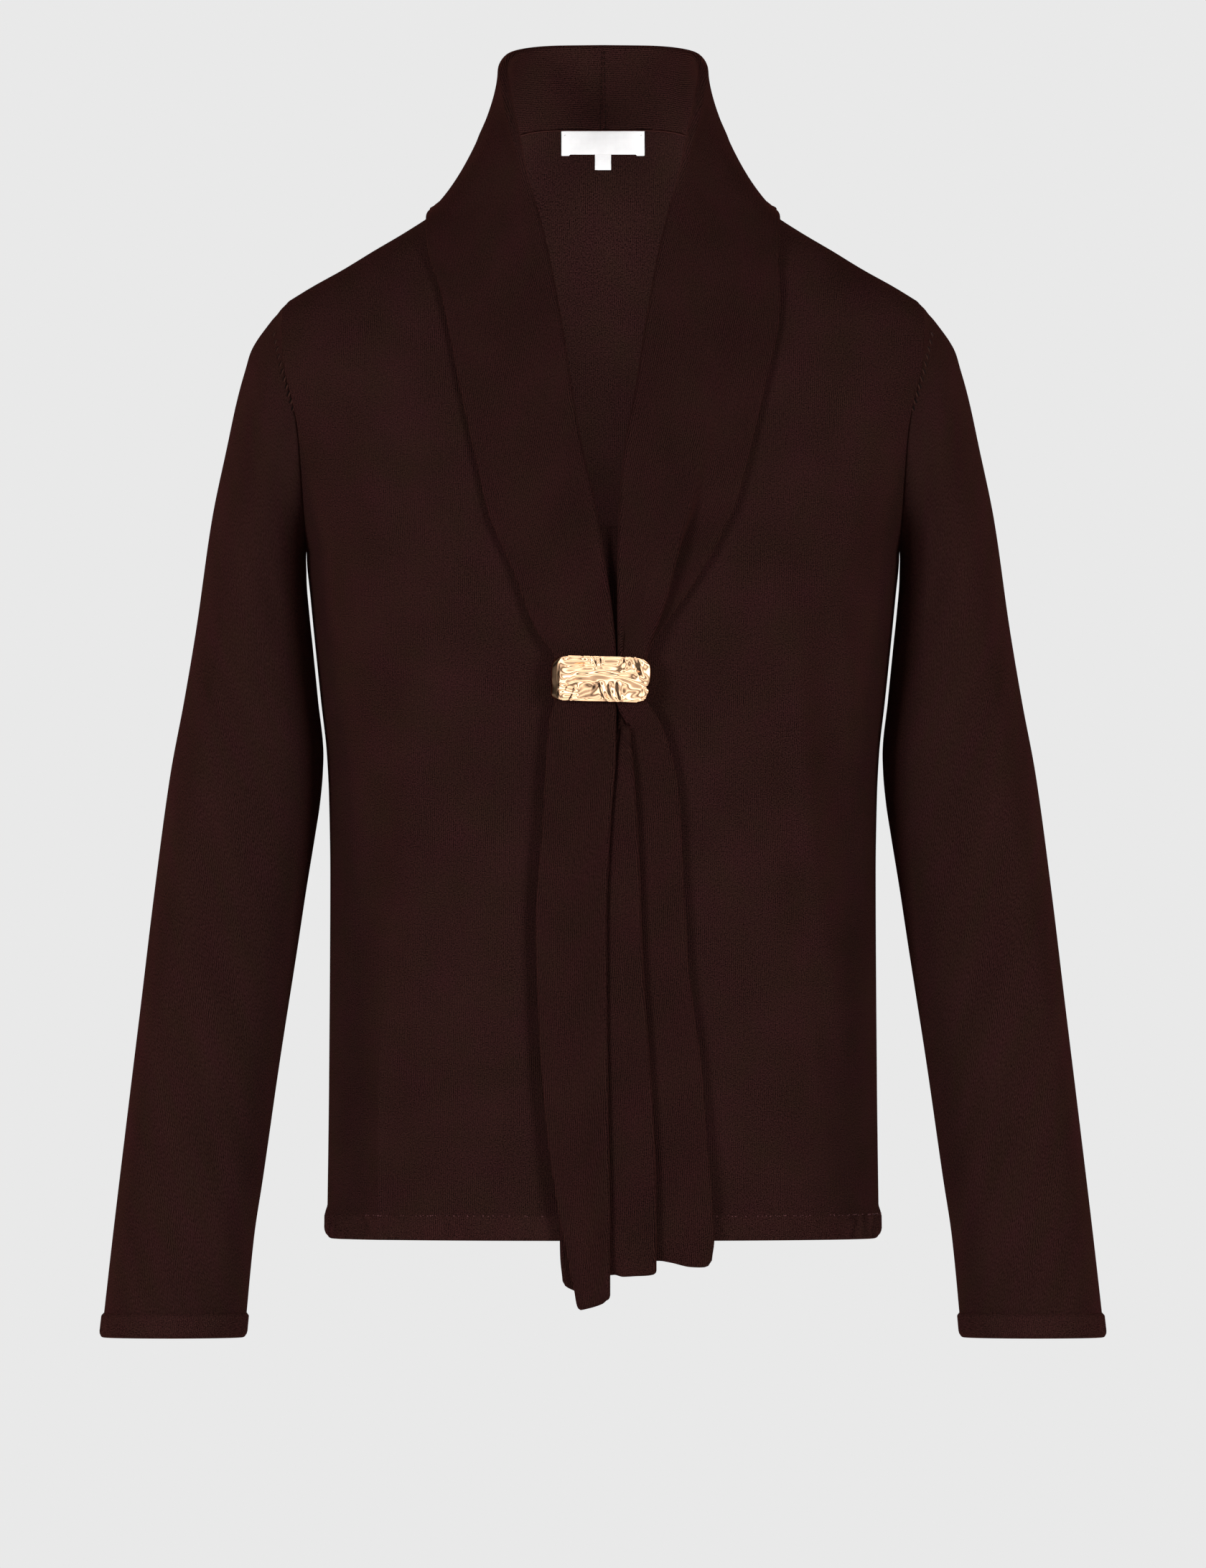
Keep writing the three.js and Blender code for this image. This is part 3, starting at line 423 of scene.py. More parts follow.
def yarn(name, code, roughness=0.7):
    """One strand of yarn on the knit. Linking yarn is given a paler colour than the knit, a painted
    highlight for the light it catches; the near-black ones are painted shade.
    """
    material, tree = new_material(name)
    place = node(tree, "ShaderNodeTexCoord")
    inputs = [("Vector", place.outputs["Object"]), ("Scale", 900.0), ("Distortion", 2.0)]
    twist = node(tree, "ShaderNodeTexWave", inputs)
    finish_material(
        tree, colour(code), roughness, ("Normal", bump(tree, 0.5, 0.0001, twist.outputs[1])),
        ("Specular IOR Level", 0.1), ("Sheen Weight", 0.05), ("Sheen Tint", colour("#9a4c38")),
    )
    return material


def woven_satin():
    """Polyester satin ribbon, cut and folded for labels: near white, soft gloss, fine cross threads."""
    material, tree = new_material("label_woven_satin")
    place = node(tree, "ShaderNodeUVMap", uv_map="cloth")

    def threads(scale, direction):
        inputs = [("Vector", place.outputs[0]), ("Scale", scale), ("Distortion", 0.6)]
        return node(tree, "ShaderNodeTexWave", inputs, bands_direction=direction).outputs[1]

    # Threads lie 0.12 mm apart; they are drawn 0.7 to 1 mm apart so that they show.
    weave = calculate(tree, "ADD", threads(320.0, "Y"), threads(420.0, "X"))
    dirt = node(tree, "ShaderNodeTexNoise", [("Vector", place.outputs[0]), ("Scale", 120.0)])
    tone = blend(tree, dirt.outputs[0], colour("#e9e7e8"), colour("#fbfafa"))
    finish_material(tree, tone, 0.42, ("Normal", bump(tree, 0.35, 0.00015, weave)),
                    ("Anisotropic", 0.5), ("Sheen Weight", 0.15))
    return material


def beaten_gold():
    """Cast brass slide, plated pale gold and polished: a crumpled mirror with fine polishing marks in its
    colour and gloss.
    """
    material, tree = new_material("gold_plated_beaten_metal")
    place = node(tree, "ShaderNodeTexCoord")
    # Polishing marks are finer than a hair; they are drawn 0.2 to 1.4 mm wide.
    inputs = [("Vector", place.outputs["Object"]), ("Scale", 700.0), ("Detail", 3.0), ("Roughness", 0.6)]
    marks = node(tree, "ShaderNodeTexNoise", inputs).outputs[0]
    finish_material(
        tree, blend(tree, marks, colour("#f3bf92"), colour("#ffcfa8")),
        calculate(tree, "MULTIPLY_ADD", marks, 0.1, 0.03),
        ("Metallic", 1.0), ("Normal", bump(tree, 0.06, 0.0001, marks)),
    )
    return material


# The first colour of each knit is its near-black painted shade between the stitch columns.
body_knit = fine_knit("fine_jersey_knit_viscose", "#0c0505", "#3a1f20", "#33221b", 1.15, 0.85, ribbed=0.55)
collar_knit = fine_knit("double_knit_viscose", "#0b0505", "#381d1d", "#32201a", 1.1, 0.85, ribbed=0.9)
band_knit = fine_knit("rib_knit_viscose", "#0c0505", "#3e2121", "#38251f", 1.15, 0.85, ribbed=0.4)
# Paler than the knit's yarn: a painted highlight for the light the linking stitches catch.
highlit_linking_yarn = yarn("linking_yarn_viscose", "#58383a")
# Near-black pieces of painted shade, for the slits of the fashioning marks and the sunk seam lines.
painted_gap_shade = yarn("transfer_gap_painted_shade", "#0b0504", roughness=0.95)
raised_yarn = yarn("transfer_stitch_viscose", "#35201b", roughness=0.9)
neck_yarn = yarn("neck_linking_viscose", "#341c19", roughness=0.9)
tacking_thread = yarn("tacking_thread_polyester", "#b9b4b4")
label_satin = woven_satin()
gold = beaten_gold()


# ---------------------------------------------------------------- body: front, back and hem bands

body_sizes = Table("z half front back", [
    [-640, 160.5, 105, 101], [-599, 160, 105, 100], [-520, 159, 104, 97], [-400, 158.3, 106, 92],
    [-360, 158.9, 108.5, 93], [-332, 160.2, 110, 94], [-300, 163.7, 112, 95], [-240, 169.8, 118, 98],
    [-215, 172, 116, 98], [-180, 172, 108, 97], [-120, 172, 88, 90], [-68, 172, 66, 77],
    [-30, 172, 52, 69], [0, 172, 43, 64], [33, 172, 38, 62],
])
armhole_line = Table("z x", [
    [-215, 172], [-197, 172.9], [-170, 174.4], [-142, 176.8], [-130, 179], [-118, 182], [-106, 184.6],
    [-93, 186], [-80, 186.4], [-74, 185.6], [-70, 183.6], [-68, 182],
])
shoulder_line = Table("z x", [
    [-68, 182], [-60, 169], [-50, 151], [-39, 133], [-29, 116], [-18, 99], [-6, 84], [4, 75.5], [14, 70],
])
front_neck_line = Table("z x", [
    [-200, 15], [-180, 21], [-150, 30], [-125, 37.5], [-95, 46], [-62, 54], [-30, 61], [-4, 66], [14, 68.5],
])
# Folds and fine creases: from x, z to x, z; sideways bow; half width; height.
body_folds = {
    FRONT: [
        (111, -240, 152, -540, -9, 9, 4.2), (126, -255, 166, -500, -8, 7, -3.2),
        (134, -235, 158, -345, 0, 6, 2.6), (156, -135, 132, -250, 4, 9, 2.6),
        (92, -330, 104, -560, 5, 12, 1.6), (-107, -250, -108, -520, -3, 10, 2.6),
        (-128, -350, -150, -500, 3, 8, -3), (-129, -470, -132, -640, 0, 8, 2.6),
        (-48, -370, -50, -600, -2, 9, 1.6), (-140, -120, -134, -235, 6, 11, 2.4),
        (142, -290, 160, -420, -3, 4, 1.1), (118, -420, 138, -610, -4, 5, 0.8),
        (-129.6, -490, -130.2, -650, 0, 1.9, 1.3), (-139, -535, -155, -640, -1, 2.1, 1.3),
        (-153, -540, -157, -600, 0, 2.2, 0.6), (-146, -560, -151, -625, 1, 2.4, -0.5),
        (-146, -240, -152, -370, 2, 5, -1.0), (-118, -300, -122, -430, 3, 5, 0.7),
        (76, -120, 66, -215, 5, 12, 0.7), (-84, -95, -70, -190, -6, 13, 0.7),
    ],
    BACK: [
        (60, -150, 104, -430, 8, 14, 3.4), (96, -210, 134, -500, -6, 10, -3),
        (-70, -170, -98, -480, -7, 13, 3), (-112, -260, -128, -590, 5, 9, -2.6),
        (8, -250, -14, -600, 9, 16, 2.2), (140, -230, 148, -380, 3, 6, 1.4),
        (-144, -225, -150, -360, -3, 6, 1.5), (42, -330, 58, -600, -5, 8, -1.0),
        (-46, -300, -60, -520, 4, 7, 0.9), (120, -80, 96, -180, -8, 12, 1.2),
        (-124, -80, -100, -190, 8, 12, -1.1),
    ],
}


def section(side, z):
    """Depth, reach and last turn of the oval level section of the front or back at each height.

    Below the armpit the oval ends at the side seam and above the shoulder on the shoulder seam.
    Between them it ends on the armhole, an ellipse seen from the side.
    """
    sizes = body_sizes(z)
    depth = sizes.front if side == FRONT else sizes.back
    edge = ARMHOLE_DEPTH * np.sqrt(np.clip(1 - ((z - ARMHOLE_MIDDLE) / ARMHOLE_HALF) ** 2, 0, None))
    last = np.arccos(np.clip(edge / depth, 0, 1) ** (ROUNDNESS / 2))
    reach = armhole_line(z).x / np.sin(last) ** (2 / ROUNDNESS)
    below, above = z <= ARMPIT_Z, z >= SHOULDER_Z
    reach = np.where(below, sizes.half, np.where(above, shoulder_line(z).x, reach))
    return depth, reach, np.where(below | above, math.pi / 2, last)


def on_section(side, z, across, proud=0.0):
    """A point of a section: across runs from -1 at one end to 1 at the other."""
    depth, reach, last = section(side, z)
    turn = across * last
    x = (reach + proud) * power(np.sin(turn), 2 / ROUNDNESS)
    out = (depth + proud) * power(np.clip(np.cos(turn), 0, None), 2 / ROUNDNESS)
    lift = ridges(body_folds[side], x, z) * np.sqrt(np.clip(np.cos(turn), 0, None))
    return vector(x, side * (out + lift), z)


def front_face(x, z):
    """Depth of the front's outer face at a place, also where the neck opening has cut it away."""
    depth, reach, _ = section(FRONT, z)
    share = np.minimum(np.abs(x) / reach, 0.999) ** ROUNDNESS
    return -(depth * (1 - share) ** (1 / ROUNDNESS) + ridges(body_folds[FRONT], x, z))


def across_of(side, z, x):
    _, reach, last = section(side, z)
    return np.arcsin((x / reach) ** (ROUNDNESS / 2)) / last


def flare(z):
    """How far the panels stand out over the hem seam."""
    return FLARE * smooth((FLARE_FROM - z) / (FLARE_FROM - HEM_SEAM))


def back_climb(row, x):
    """The back's rows above the shoulder points climb towards the middle, up to the neck seam."""
    share = np.minimum(np.abs(x) / shoulder_line(np.clip(row, SHOULDER_Z, NECK_Z)).x, 1)
    return NECK_RISE * smooth((row - SHOULDER_Z) / (NECK_Z - SHOULDER_Z)) * (1 - share**5)


def on_back(row, across):
    _, reach, last = section(BACK, row)
    turn = across * last
    x = reach * power(np.sin(turn), 2 / ROUNDNESS)
    z = row + back_climb(row, x)
    y = body_sizes(z).back * power(np.clip(np.cos(turn), 0, None), 2 / ROUNDNESS)
    low = on_section(BACK, row, across, flare(row))
    return np.where((row + 0 * across <= SHOULDER_Z)[..., None], low, vector(x, y, z))


v_turn = math.acos((ARMHOLE_MIDDLE - V_BASE) / ARMHOLE_HALF)
BELOW_V = 6  # rows between the armpit and the base of the V
armhole_turns = np.concatenate([np.linspace(0, v_turn, BELOW_V + 1), np.linspace(v_turn, math.pi, 40)[1:]])
armhole_heights = ARMHOLE_MIDDLE - ARMHOLE_HALF * np.cos(armhole_turns)
flare_heights = np.linspace(HEM_SEAM, FLARE_FROM + 1, 7)[:-1]
trunk_heights = np.concatenate([flare_heights, np.linspace(FLARE_FROM + 1, ARMPIT_Z, 108)[:-1]])


def front_panel():
    """The front: level oval sections from hem to shoulder, forked above the base of the neck's V."""
    shoulder_heights = np.linspace(SHOULDER_Z, FRONT_NECK_TOP, 24)[1:]
    heights = np.concatenate([trunk_heights, armhole_heights, shoulder_heights])
    z = heights[:, None]
    above_v = np.maximum(z, V_BASE)
    split = across_of(FRONT, above_v, front_neck_line(above_v).x)
    # Columns are closer together towards the side seams, where the creases are narrow.
    outer_steps, inner_steps, middle_steps = 58, 34, 10
    side_steps = outer_steps + inner_steps
    outer_part = np.linspace(0, 0.55, outer_steps + 1)[:-1]
    away = np.concatenate([outer_part, np.linspace(0.55, 1, inner_steps + 1)])[None]
    between = np.linspace(-1, 1, middle_steps + 1)[None, 1:-1]
    across = np.concatenate([mix(-1, -split, away), split * between, mix(1, split, away[:, ::-1])], 1)
    grid = on_section(FRONT, z, across, flare(z))
    cells = np.ones((len(heights) - 1, across.shape[1] - 1), bool)
    cells[len(trunk_heights) + BELOW_V:, side_steps:side_steps + middle_steps] = False
    uv = plain_uv(grid, across_from=0.5, along=z)
    return wall("front_jersey", grid, CLOTH, BODY_MIDDLE, body_knit, uv, keep=cells)


def back_panel():
    """The back: level oval sections that climb to the neck seam above the shoulders."""
    shoulder_heights = np.linspace(SHOULDER_Z, NECK_Z, 30)[1:]
    heights = np.concatenate([trunk_heights, armhole_heights, shoulder_heights])
    across = np.linspace(-1, 1, 105)[None]
    grid = on_back(heights[:, None], across)
    uv = plain_uv(grid, across_from=0.5, along=heights[:, None])
    return wall("back_jersey", grid, CLOTH, BODY_MIDDLE, body_knit, uv)


def rib_relief(grid, closed=False):
    """Ribs: a cosine round the band, one wave for each rib."""
    full = np.concatenate([grid, grid[:, :1]], 1) if closed else grid
    round_it = run(full, 1)
    total = round_it[:, -1:]
    ribs = np.round(total.mean() / RIB)
    wave = RIB_HIGH * np.cos(2 * math.pi * ribs * round_it / total)
    return wave[:, :-1] if closed else wave


def band_profile(seam, edge, start, proud):
    """Heights of a band's rows and how far each stands proud: a quick rise, then level."""
    share = np.concatenate([np.linspace(0, 0.15, 4)[:-1], np.linspace(0.15, 1, 8)])
    return mix(seam, edge, share)[:, None], mix(start, proud, smooth(share / 0.12))[:, None]


def hem_band(side, name):
    """The hem's ribbed band: it stands proud of the panel and its ends round off at the side seams."""
    z, proud = band_profile(HEM_SEAM, HEM_EDGE, FLARE, 1.6)
    across = np.linspace(-1, 1, 1360)[None]
    corner = 5.0
    low = np.clip((HEM_EDGE + corner - z) / corner, 0, 1)
    rounded = corner * (1 - np.sqrt(1 - low**2)) * np.abs(across) ** 14
    grid = on_section(side, z, across, proud - rounded)
    level = np.array([1.0, 1.0, 0.0])

    def trim(offset):
        offset = offset * level
        offset[:, [0, -1], 1] = 0
        return offset

    bulge = np.full(grid.shape[:2], 1.1)
    bulge[:3] = 0.2
    bulge[:, [0, -1]] = 0.2
    uv = plain_uv(grid, across_from=0.5, along=z)
    return wall(name, grid, BAND, (0, 0, HEM_SEAM), band_knit, uv, bulge=bulge,
                relief=rib_relief(grid), trim=trim)


# ---------------------------------------------------------------- sleeves and cuffs

sleeve_rings = Table("row outer inner", [
    [0, -68, -215], [1, -80, -217.5], [2, -95, -221], [3, -112, -226], [4, -132, -232], [5, -155, -241],
    [6, -180, -252], [7, -210, -268], [8, -245, -290], [9, -283, -318], [10, -323, -348], [12, -405, -417],
    [14, -490, -494], [16, -575, -576], [18, CUFF_SEAM, CUFF_SEAM],
])
sleeve_outer = Table("z x", [
    [-68, 182], [-71, 182.8], [-75, 184.6], [-79, 188], [-83, 191.6], [-91, 198.7], [-97, 203],
    [-102, 205.4], [-122, 211.5], [-154, 218.5], [-195, 227], [-258, 236], [-300, 243], [-343, 251],
    [-410, 260], [-477, 268], [-543, 276], [-610, 284], [-672, 291],
])
sleeve_inner = Table("z x", [
    [-215, 172.2], [-230, 172], [-250, 170.4], [-268, 168.5], [-300, 165.2], [-332, 162], [-343, 162.4],
    [-360, 164], [-377, 166.6], [-410, 172], [-443, 177], [-510, 187.4], [-577, 197], [-610, 202],
    [-672, 208],
])
sleeve_form = Table("z deep forward", [
    [-141, 52, 0], [-230, 49, 1], [-300, 46.5, -4], [-400, 45, -12], [-500, 42.5, -19], [-600, 39.5, -24],
    [-672, 37.5, -26],
])
SLEEVE_ROWS = 18
SEAM_VALLEY = 1.0  # depth to which the armhole seam draws the sleeve's head in
# Along the rows, turn round the sleeve in degrees from its inner line towards the front, half
# length, half width, height.
sleeve_folds = [
    (4.5, 58, 1.7, 14, -2.4), (5.6, 30, 1.5, 13, 1.8), (9.4, 22, 2.2, 15, -1.8),
    (12.6, 104, 3.8, 17, -1.6), (14.6, 142, 3.0, 15, 1.6), (5.2, 318, 1.8, 15, -2.2),
    (11.6, 262, 3.6, 17, -1.8), (14.4, 236, 2.6, 15, 1.4), (8.2, 64, 1.6, 9, 0.8),
    (10.8, 128, 2.4, 9, 0.7), (16.2, 70, 1.4, 10, -0.7), (7.4, 300, 1.7, 9, 0.8), (16.0, 210, 1.5, 10, 0.6),
]


def on_sleeve(side, outer, inner, turn, row, proud=0.0):
    """A ring point between the sleeve's outer and inner lines.

    The turn is nought on the inner line, passes the front first and is a half turn on the outer
    line. Each ring is an ellipse; the first follows the armhole's bow.
    """
    lift = proud - SEAM_VALLEY * np.exp(-((row / 0.3) ** 2))
    for fold_row, fold_turn, long, wide, high in sleeve_folds:
        along = (row - fold_row) / long
        across = ((np.degrees(turn) - fold_turn + 540) % 360 - 180) / wide
        lift = lift + high * np.exp(-along**2 - across**2)
    outer_x, inner_x = sleeve_outer(outer).x, sleeve_inner(inner).x
    form = sleeve_form((outer + inner) / 2)
    half_x, half_z = (outer_x - inner_x) / 2, (outer - inner) / 2
    share = -np.cos(turn) * (1 + lift / np.hypot(half_x, half_z))
    z = (outer + inner) / 2 + half_z * share
    straight = mix(172.0, 182.0, (z - ARMPIT_Z) / (SHOULDER_Z - ARMPIT_Z))
    bow = (armhole_line(z).x - straight) * smooth(1 - row / 3)
    x = (outer_x + inner_x) / 2 + half_x * share + bow
    return vector(side * x, form.forward - (form.deep + lift) * np.sin(turn), z)


def on_sleeve_row(side, turn, row):
    rings = sleeve_rings(row)
    return on_sleeve(side, rings.outer, rings.inner, turn, row)


def sleeve(side, name):
    """A sleeve: rings that tip up from the cuff to the armhole, fuller at the elbow's folds."""
    row = np.concatenate([np.linspace(0, 0.8, 9)[:-1], np.linspace(0.8, SLEEVE_ROWS, 172)])[:, None]
    turn = np.linspace(0, 2 * math.pi, 96, endpoint=False)[None]
    grid = on_sleeve_row(side, turn, row)

    def trim(offset):
        offset = offset.copy()
        offset[0, :, 0] = np.where(offset[0, :, 0] * side < 0, 0, offset[0, :, 0])
        offset[-1, :, 2] = 0
        return offset

    uv = plain_uv(grid, closed=True, across_from=0.5)
    return wall(name, grid, CLOTH, (side * 215, -8, -300), body_knit, uv, closed=True, trim=trim)


def cuff(side, name):
    """A cuff: the sleeve's last ring carried down as a ribbed band with a rounded edge."""
    z, proud = band_profile(CUFF_SEAM, CUFF_EDGE, 0.2, 1.3)
    low = np.clip((CUFF_EDGE + 3 - z) / 3, 0, 1)
    turn = np.linspace(0, 2 * math.pi, 780, endpoint=False)[None]
    grid = on_sleeve(side, z, z, turn, SLEEVE_ROWS, proud - 1.2 * low**2)
    bulge = np.full(grid.shape[:2], 0.8)
    bulge[:3] = 0.2
    uv = plain_uv(grid, closed=True)
    return wall(name, grid, BAND, (side * 248, -26, CUFF_SEAM), band_knit, uv, closed=True, bulge=bulge,
                relief=rib_relief(grid, closed=True), trim=lambda offset: offset * [1, 1, 0])


# ---------------------------------------------------------------- collar and tails

standing_collar = Table("station seam roll_x roll_y roll_z edge_x edge_y edge_z handle", [
    [0, 0, 0, 66, 82.6, 0, 82, -3, 30], [1, 0.27, 26, 63, 82.2, 34, 79, -4, 30],
    [2, 0.52, 44, 50, 80.4, 67, 66, -8, 30], [3, 0.78, 54.5, 28, 76.5, 88, 40, -12, 27],
    [4, 1, 58, 5, 68.5, 98.5, 7, -14.5, 24], [5, 1.25, 56, -14, 54, 101.5, -20, -21, 20],
    [6, 1.5, 51, -30, 32, 101, -36, -32, 16], [7, 1.8, 44.5, -42, 8, 99, -46, -50, 12],
    [8, 2, 37.5, -52, -18, 96, -54, -66, 10],
])
seam_down = Table("seam z", [[1, 14], [1.25, 2], [1.5, -10], [1.8, -20], [2, -30]])
# Both tables: x, z of the roll, the outer edge and the neck seam; how high the roll's underside, the
# edge and the seam lie over the body; fold is the roll's radius. The left one also has its pleat: where
# it folds, how far round it turns, how wide it lies under, how high it lies, its groove and its bend.
right_lying = Table("station roll_x roll_z edge_x edge_z seam_x seam_z low fold edge_high seam_high", [
    [6, 50, 32, 99, -34, 65, -8, 1, 2.2, 3, -0.5], [7, 44, 7, 96, -50, 63, -18, 1.5, 2.2, 3, -0.5],
    [8, 36, -21, 92, -68, 59.6, -33, 2, 2.2, 3, -0.6],
    [9, 29.6, -49, 88, -88, 53, -62, 2.4, 2.2, 2.6, -0.7],
    [10, 23.3, -83, 83.5, -111, 45, -95, 2.6, 2.2, 2.6, -0.7],
    [11, 17, -124, 76, -146, 35, -130, 2.6, 2.1, 2.6, -0.7],
    [12, 11, -158, 70, -173, 25.6, -162, 2.6, 2, 2.6, -0.7],
    [13, 5.4, -181, 65, -193, 19, -184, 2.7, 2, 2.8, 1.2],
    [14, 1.7, -201, 58.5, -209, 15, -202, 2.8, 2, 3, 2.2],
    [15, -1.7, -223, 50, -228, 14, -224, 3, 1.9, 3.4, 2.4],
    [16, -5, -245, 42, -250, 13, -246, 3.2, 1.8, 4.2, 2.8],
    [17, -6.6, -260, 35, -264, 13, -261, 3.6, 1.6, 5, 3.4],
    [18, -7.4, -271, 29.2, -271, 13.5, -271, 3.9, 1.5, 6, 3.9],
    [19, -7.6, -276, 27.4, -276, 14, -276, 3.9, 1.5, 6.6, 3.9],
    [20, -7.6, -301, 27.4, -301, 15, -301, 3.9, 1.5, 6.6, 3.9],
    [21, -7.7, -310, 30, -310, 15, -310, 6.6, 1.5, 5.6, 4],
    [22, -7.6, -320, 31, -320, 15.6, -320, 6.9, 1.3, 5.6, 4],
    [23, -7.4, -335, 32, -335, 16, -335, 6.6, 1.2, 6, 4],
    [24, -4.6, -370, 34, -370, 17, -370, 6.3, 1.2, 6.6, 4.2],
    [25, -2.2, -430, 38, -430, 19, -430, 6.3, 1.2, 7, 4.4],
    [26, -2.6, -490, 36, -490, 20, -490, 6.4, 1.2, 7.2, 4.4],
    [27, -3.4, -545, 32, -545, 21.5, -545, 7, 1.3, 7.4, 4.6],
    [28, -4.2, -596, 25, -594, 24.6, -590, 8.8, 1.6, 8.4, 5.4],
    [29, -4.2, -618, 20.4, -617, 24.6, -612, 9.8, 1.6, 9.4, 6.6],
    [30, -4.2, -636, 17, -637, 24, -628, 9.4, 1.6, 9.2, 6.2],
    [31, -4.2, -648, 15, -651.6, 23, -641, 8.6, 1.6, 9, 5.4],
])
left_lying = Table(
    "station roll_x roll_z edge_x edge_z seam_x seam_z low fold edge_high seam_high fold_x turn under "
    "lie groove arc",
    [
        [6, 51, 30, 101, -32, 65, -8, 1, 2.2, 3, -0.5, 80, 0, 2, 4, 0, 4],
        [7, 45, 10, 101, -46, 63, -18, 1.5, 2.2, 3, -0.5, 77, 0, 2, 4, 0, 4],
        [8, 38.5, -13, 102, -62, 59.6, -33, 2, 2.2, 3, -0.6, 75, 0, 2, 4, 0, 4],
        [9, 31.5, -42, 101, -80, 53, -62, 2.4, 2.2, 2.6, -0.7, 73, 0, 2, 4, 0, 4],
        [10, 25.5, -75, 97.5, -100, 45, -95, 2.6, 2.2, 2.6, -0.7, 69, 4, 2, 4, 0, 4],
        [11, 18.5, -120, 88.5, -138, 35, -130, 2.6, 2.1, 2.6, -0.7, 61, 12, 2, 4, 0, 4],
        [12, 12.5, -152, 82, -165, 25.6, -162, 2.6, 2, 2.6, -0.7, 54, 26, 2, 3.6, 0.4, 4],
        [13, 9.8, -177, 76, -187, 19, -184, 2.7, 2, 2.8, 1.2, 49, 50, 2, 3.2, 1, 4],
        [14, 8.6, -201, 68.5, -202, 15, -202, 2.8, 2, 3, 2.2, 44.5, 95, 1.6, 2.8, 1.6, 4],
        [15, 8.1, -222, 60, -219, 14, -224, 3, 1.9, 3.2, 2.4, 40, 140, 2, 2.8, 2, 4],
        [16, 8.1, -243, 48, -238, 13, -246, 3.2, 1.8, 3.2, 2.8, 35.5, 172, 4, 3, 2, 4],
        [17, 8.2, -259, 36, -255, 13, -261, 3.6, 1.7, 3.6, 3.4, 30, 180, 5, 3.4, 1.8, 4],
        [18, 8.4, -270.5, 26.4, -270, 13, -271, 3.9, 1.6, 3.2, 3.9, 24.4, 180, 5, 3.2, 1.4, 4],
        [19, 8.4, -276, 24.8, -276, 13, -276, 3.9, 1.5, 3.2, 3.9, 22.8, 180, 5, 3.2, 1, 4],
        [19.3, 8.4, -284, 24.8, -284, 13, -284, 3.6, 1.5, 3.6, 3.6, 17, 90, 1, 3.4, 0.5, 2],
        [19.6, 8.4, -291, 24.8, -291, 13, -291, 3.2, 1.5, 5.4, 3.2, 13, 0, 1, 5, 0, 2],
        [20, 8.4, -300, 24.4, -300, 12, -300, 2.8, 1.5, 7.4, 2.8, 11.6, -180, 2.4, 7.4, 0, 2.4],
        [20.6, 8.5, -305, 27, -305, 11.4, -305, 2.6, 1.4, 7.2, 2.6, 12.6, -180, 2.3, 7.3, 0, 2.2],
        [21, 8.5, -309.5, 30.1, -309.5, 11, -309.5, 2.5, 1.3, 6.9, 2.5, 14.4, -178, 1.8, 7.1, 0, 2],
        [21.5, 8.2, -313, 32, -313, 10.4, -313, 2.5, 1.3, 6.5, 2.5, 14.9, -150, 1, 6.7, 0, 1.7],
        [21.8, 7.9, -315.5, 33.2, -315.5, 9.8, -315.5, 2.4, 1.3, 6.1, 2.4, 14, 0, 0.5, 6, 0, 1.3],
        [22, 7.6, -318, 34.2, -318, 9.4, -318, 2.3, 1.2, 5.7, 2.3, 14.4, 150, 1, 5, 0, 1.8],
        [22.5, 6.4, -323, 36.2, -323, 8.4, -323, 2.2, 1.2, 5.2, 2.2, 14.4, 178, 1.8, 3.7, 0, 2.9],
        [23, 4.2, -331, 38.6, -331, 6.4, -331, 2.1, 1.1, 4.8, 2.1, 15, 180, 2.6, 2.9, 0, 3.7],
        [24, 1.6, -354, 43, -354, 3.8, -354, 2, 1.1, 4, 2, 16.9, 180, 4, 2.4, 0, 4],
        [25, -2.6, -397, 45.3, -397, -0.4, -397, 2, 1.1, 3.8, 2, 19.1, 180, 5.5, 2.4, 0, 4],
        [26, -4.6, -452, 48.6, -452, -2.4, -452, 2, 1.1, 3.8, 2, 21.2, 180, 6.5, 2.4, 0, 4],
        [27, -6, -513, 56, -513, -3.6, -513, 2, 1.1, 4, 2, 25.4, 180, 7, 2.4, 0, 4],
        [28, -6, -565, 60.2, -565, -3.6, -565, 2.6, 1.2, 4.8, 2.6, 28.2, 180, 7, 3, 0, 4],
        [29, -5.6, -596, 62.4, -594, -3.2, -596, 3.8, 1.3, 5.4, 3.8, 28.8, 180, 7, 4, 0, 4],
        [30, -5.4, -616, 63.4, -611, -3, -616, 4.8, 1.3, 6, 4.8, 28.8, 180, 7, 5, 0, 4],
        [31, -5.4, -634, 62, -626, -3, -634, 4, 1.3, 5.4, 4, 28.8, 180, 7, 4.2, 0, 4],
    ])
COLLAR_CLEAR = 2.6  # from the body's face to the middle of the standing collar's wall
SEAM_IN, SEAM_UP = 1.4, 0.7  # the collar's root, from the neck seam's line
ROLL_RADIUS = 2.4
KNOT = (19, 23.4)  # stations between which the ends lie in the slide and roll over below it
SEAM_REACH = 3.2  # the centre back seam's relief fades out by here
GROOVE_BACK = 15.0  # the lapel's soft groove lies this far inside the pleat's fold line
LAST_STATION = 31
STAND, ROLL, FALL = 14, 12, 40  # steps across: up from the seam, over the roll, down to the edge
AHEAD, TURN, UNDER, BEYOND = 26, 9, 6, 22  # steps of the pleated fall


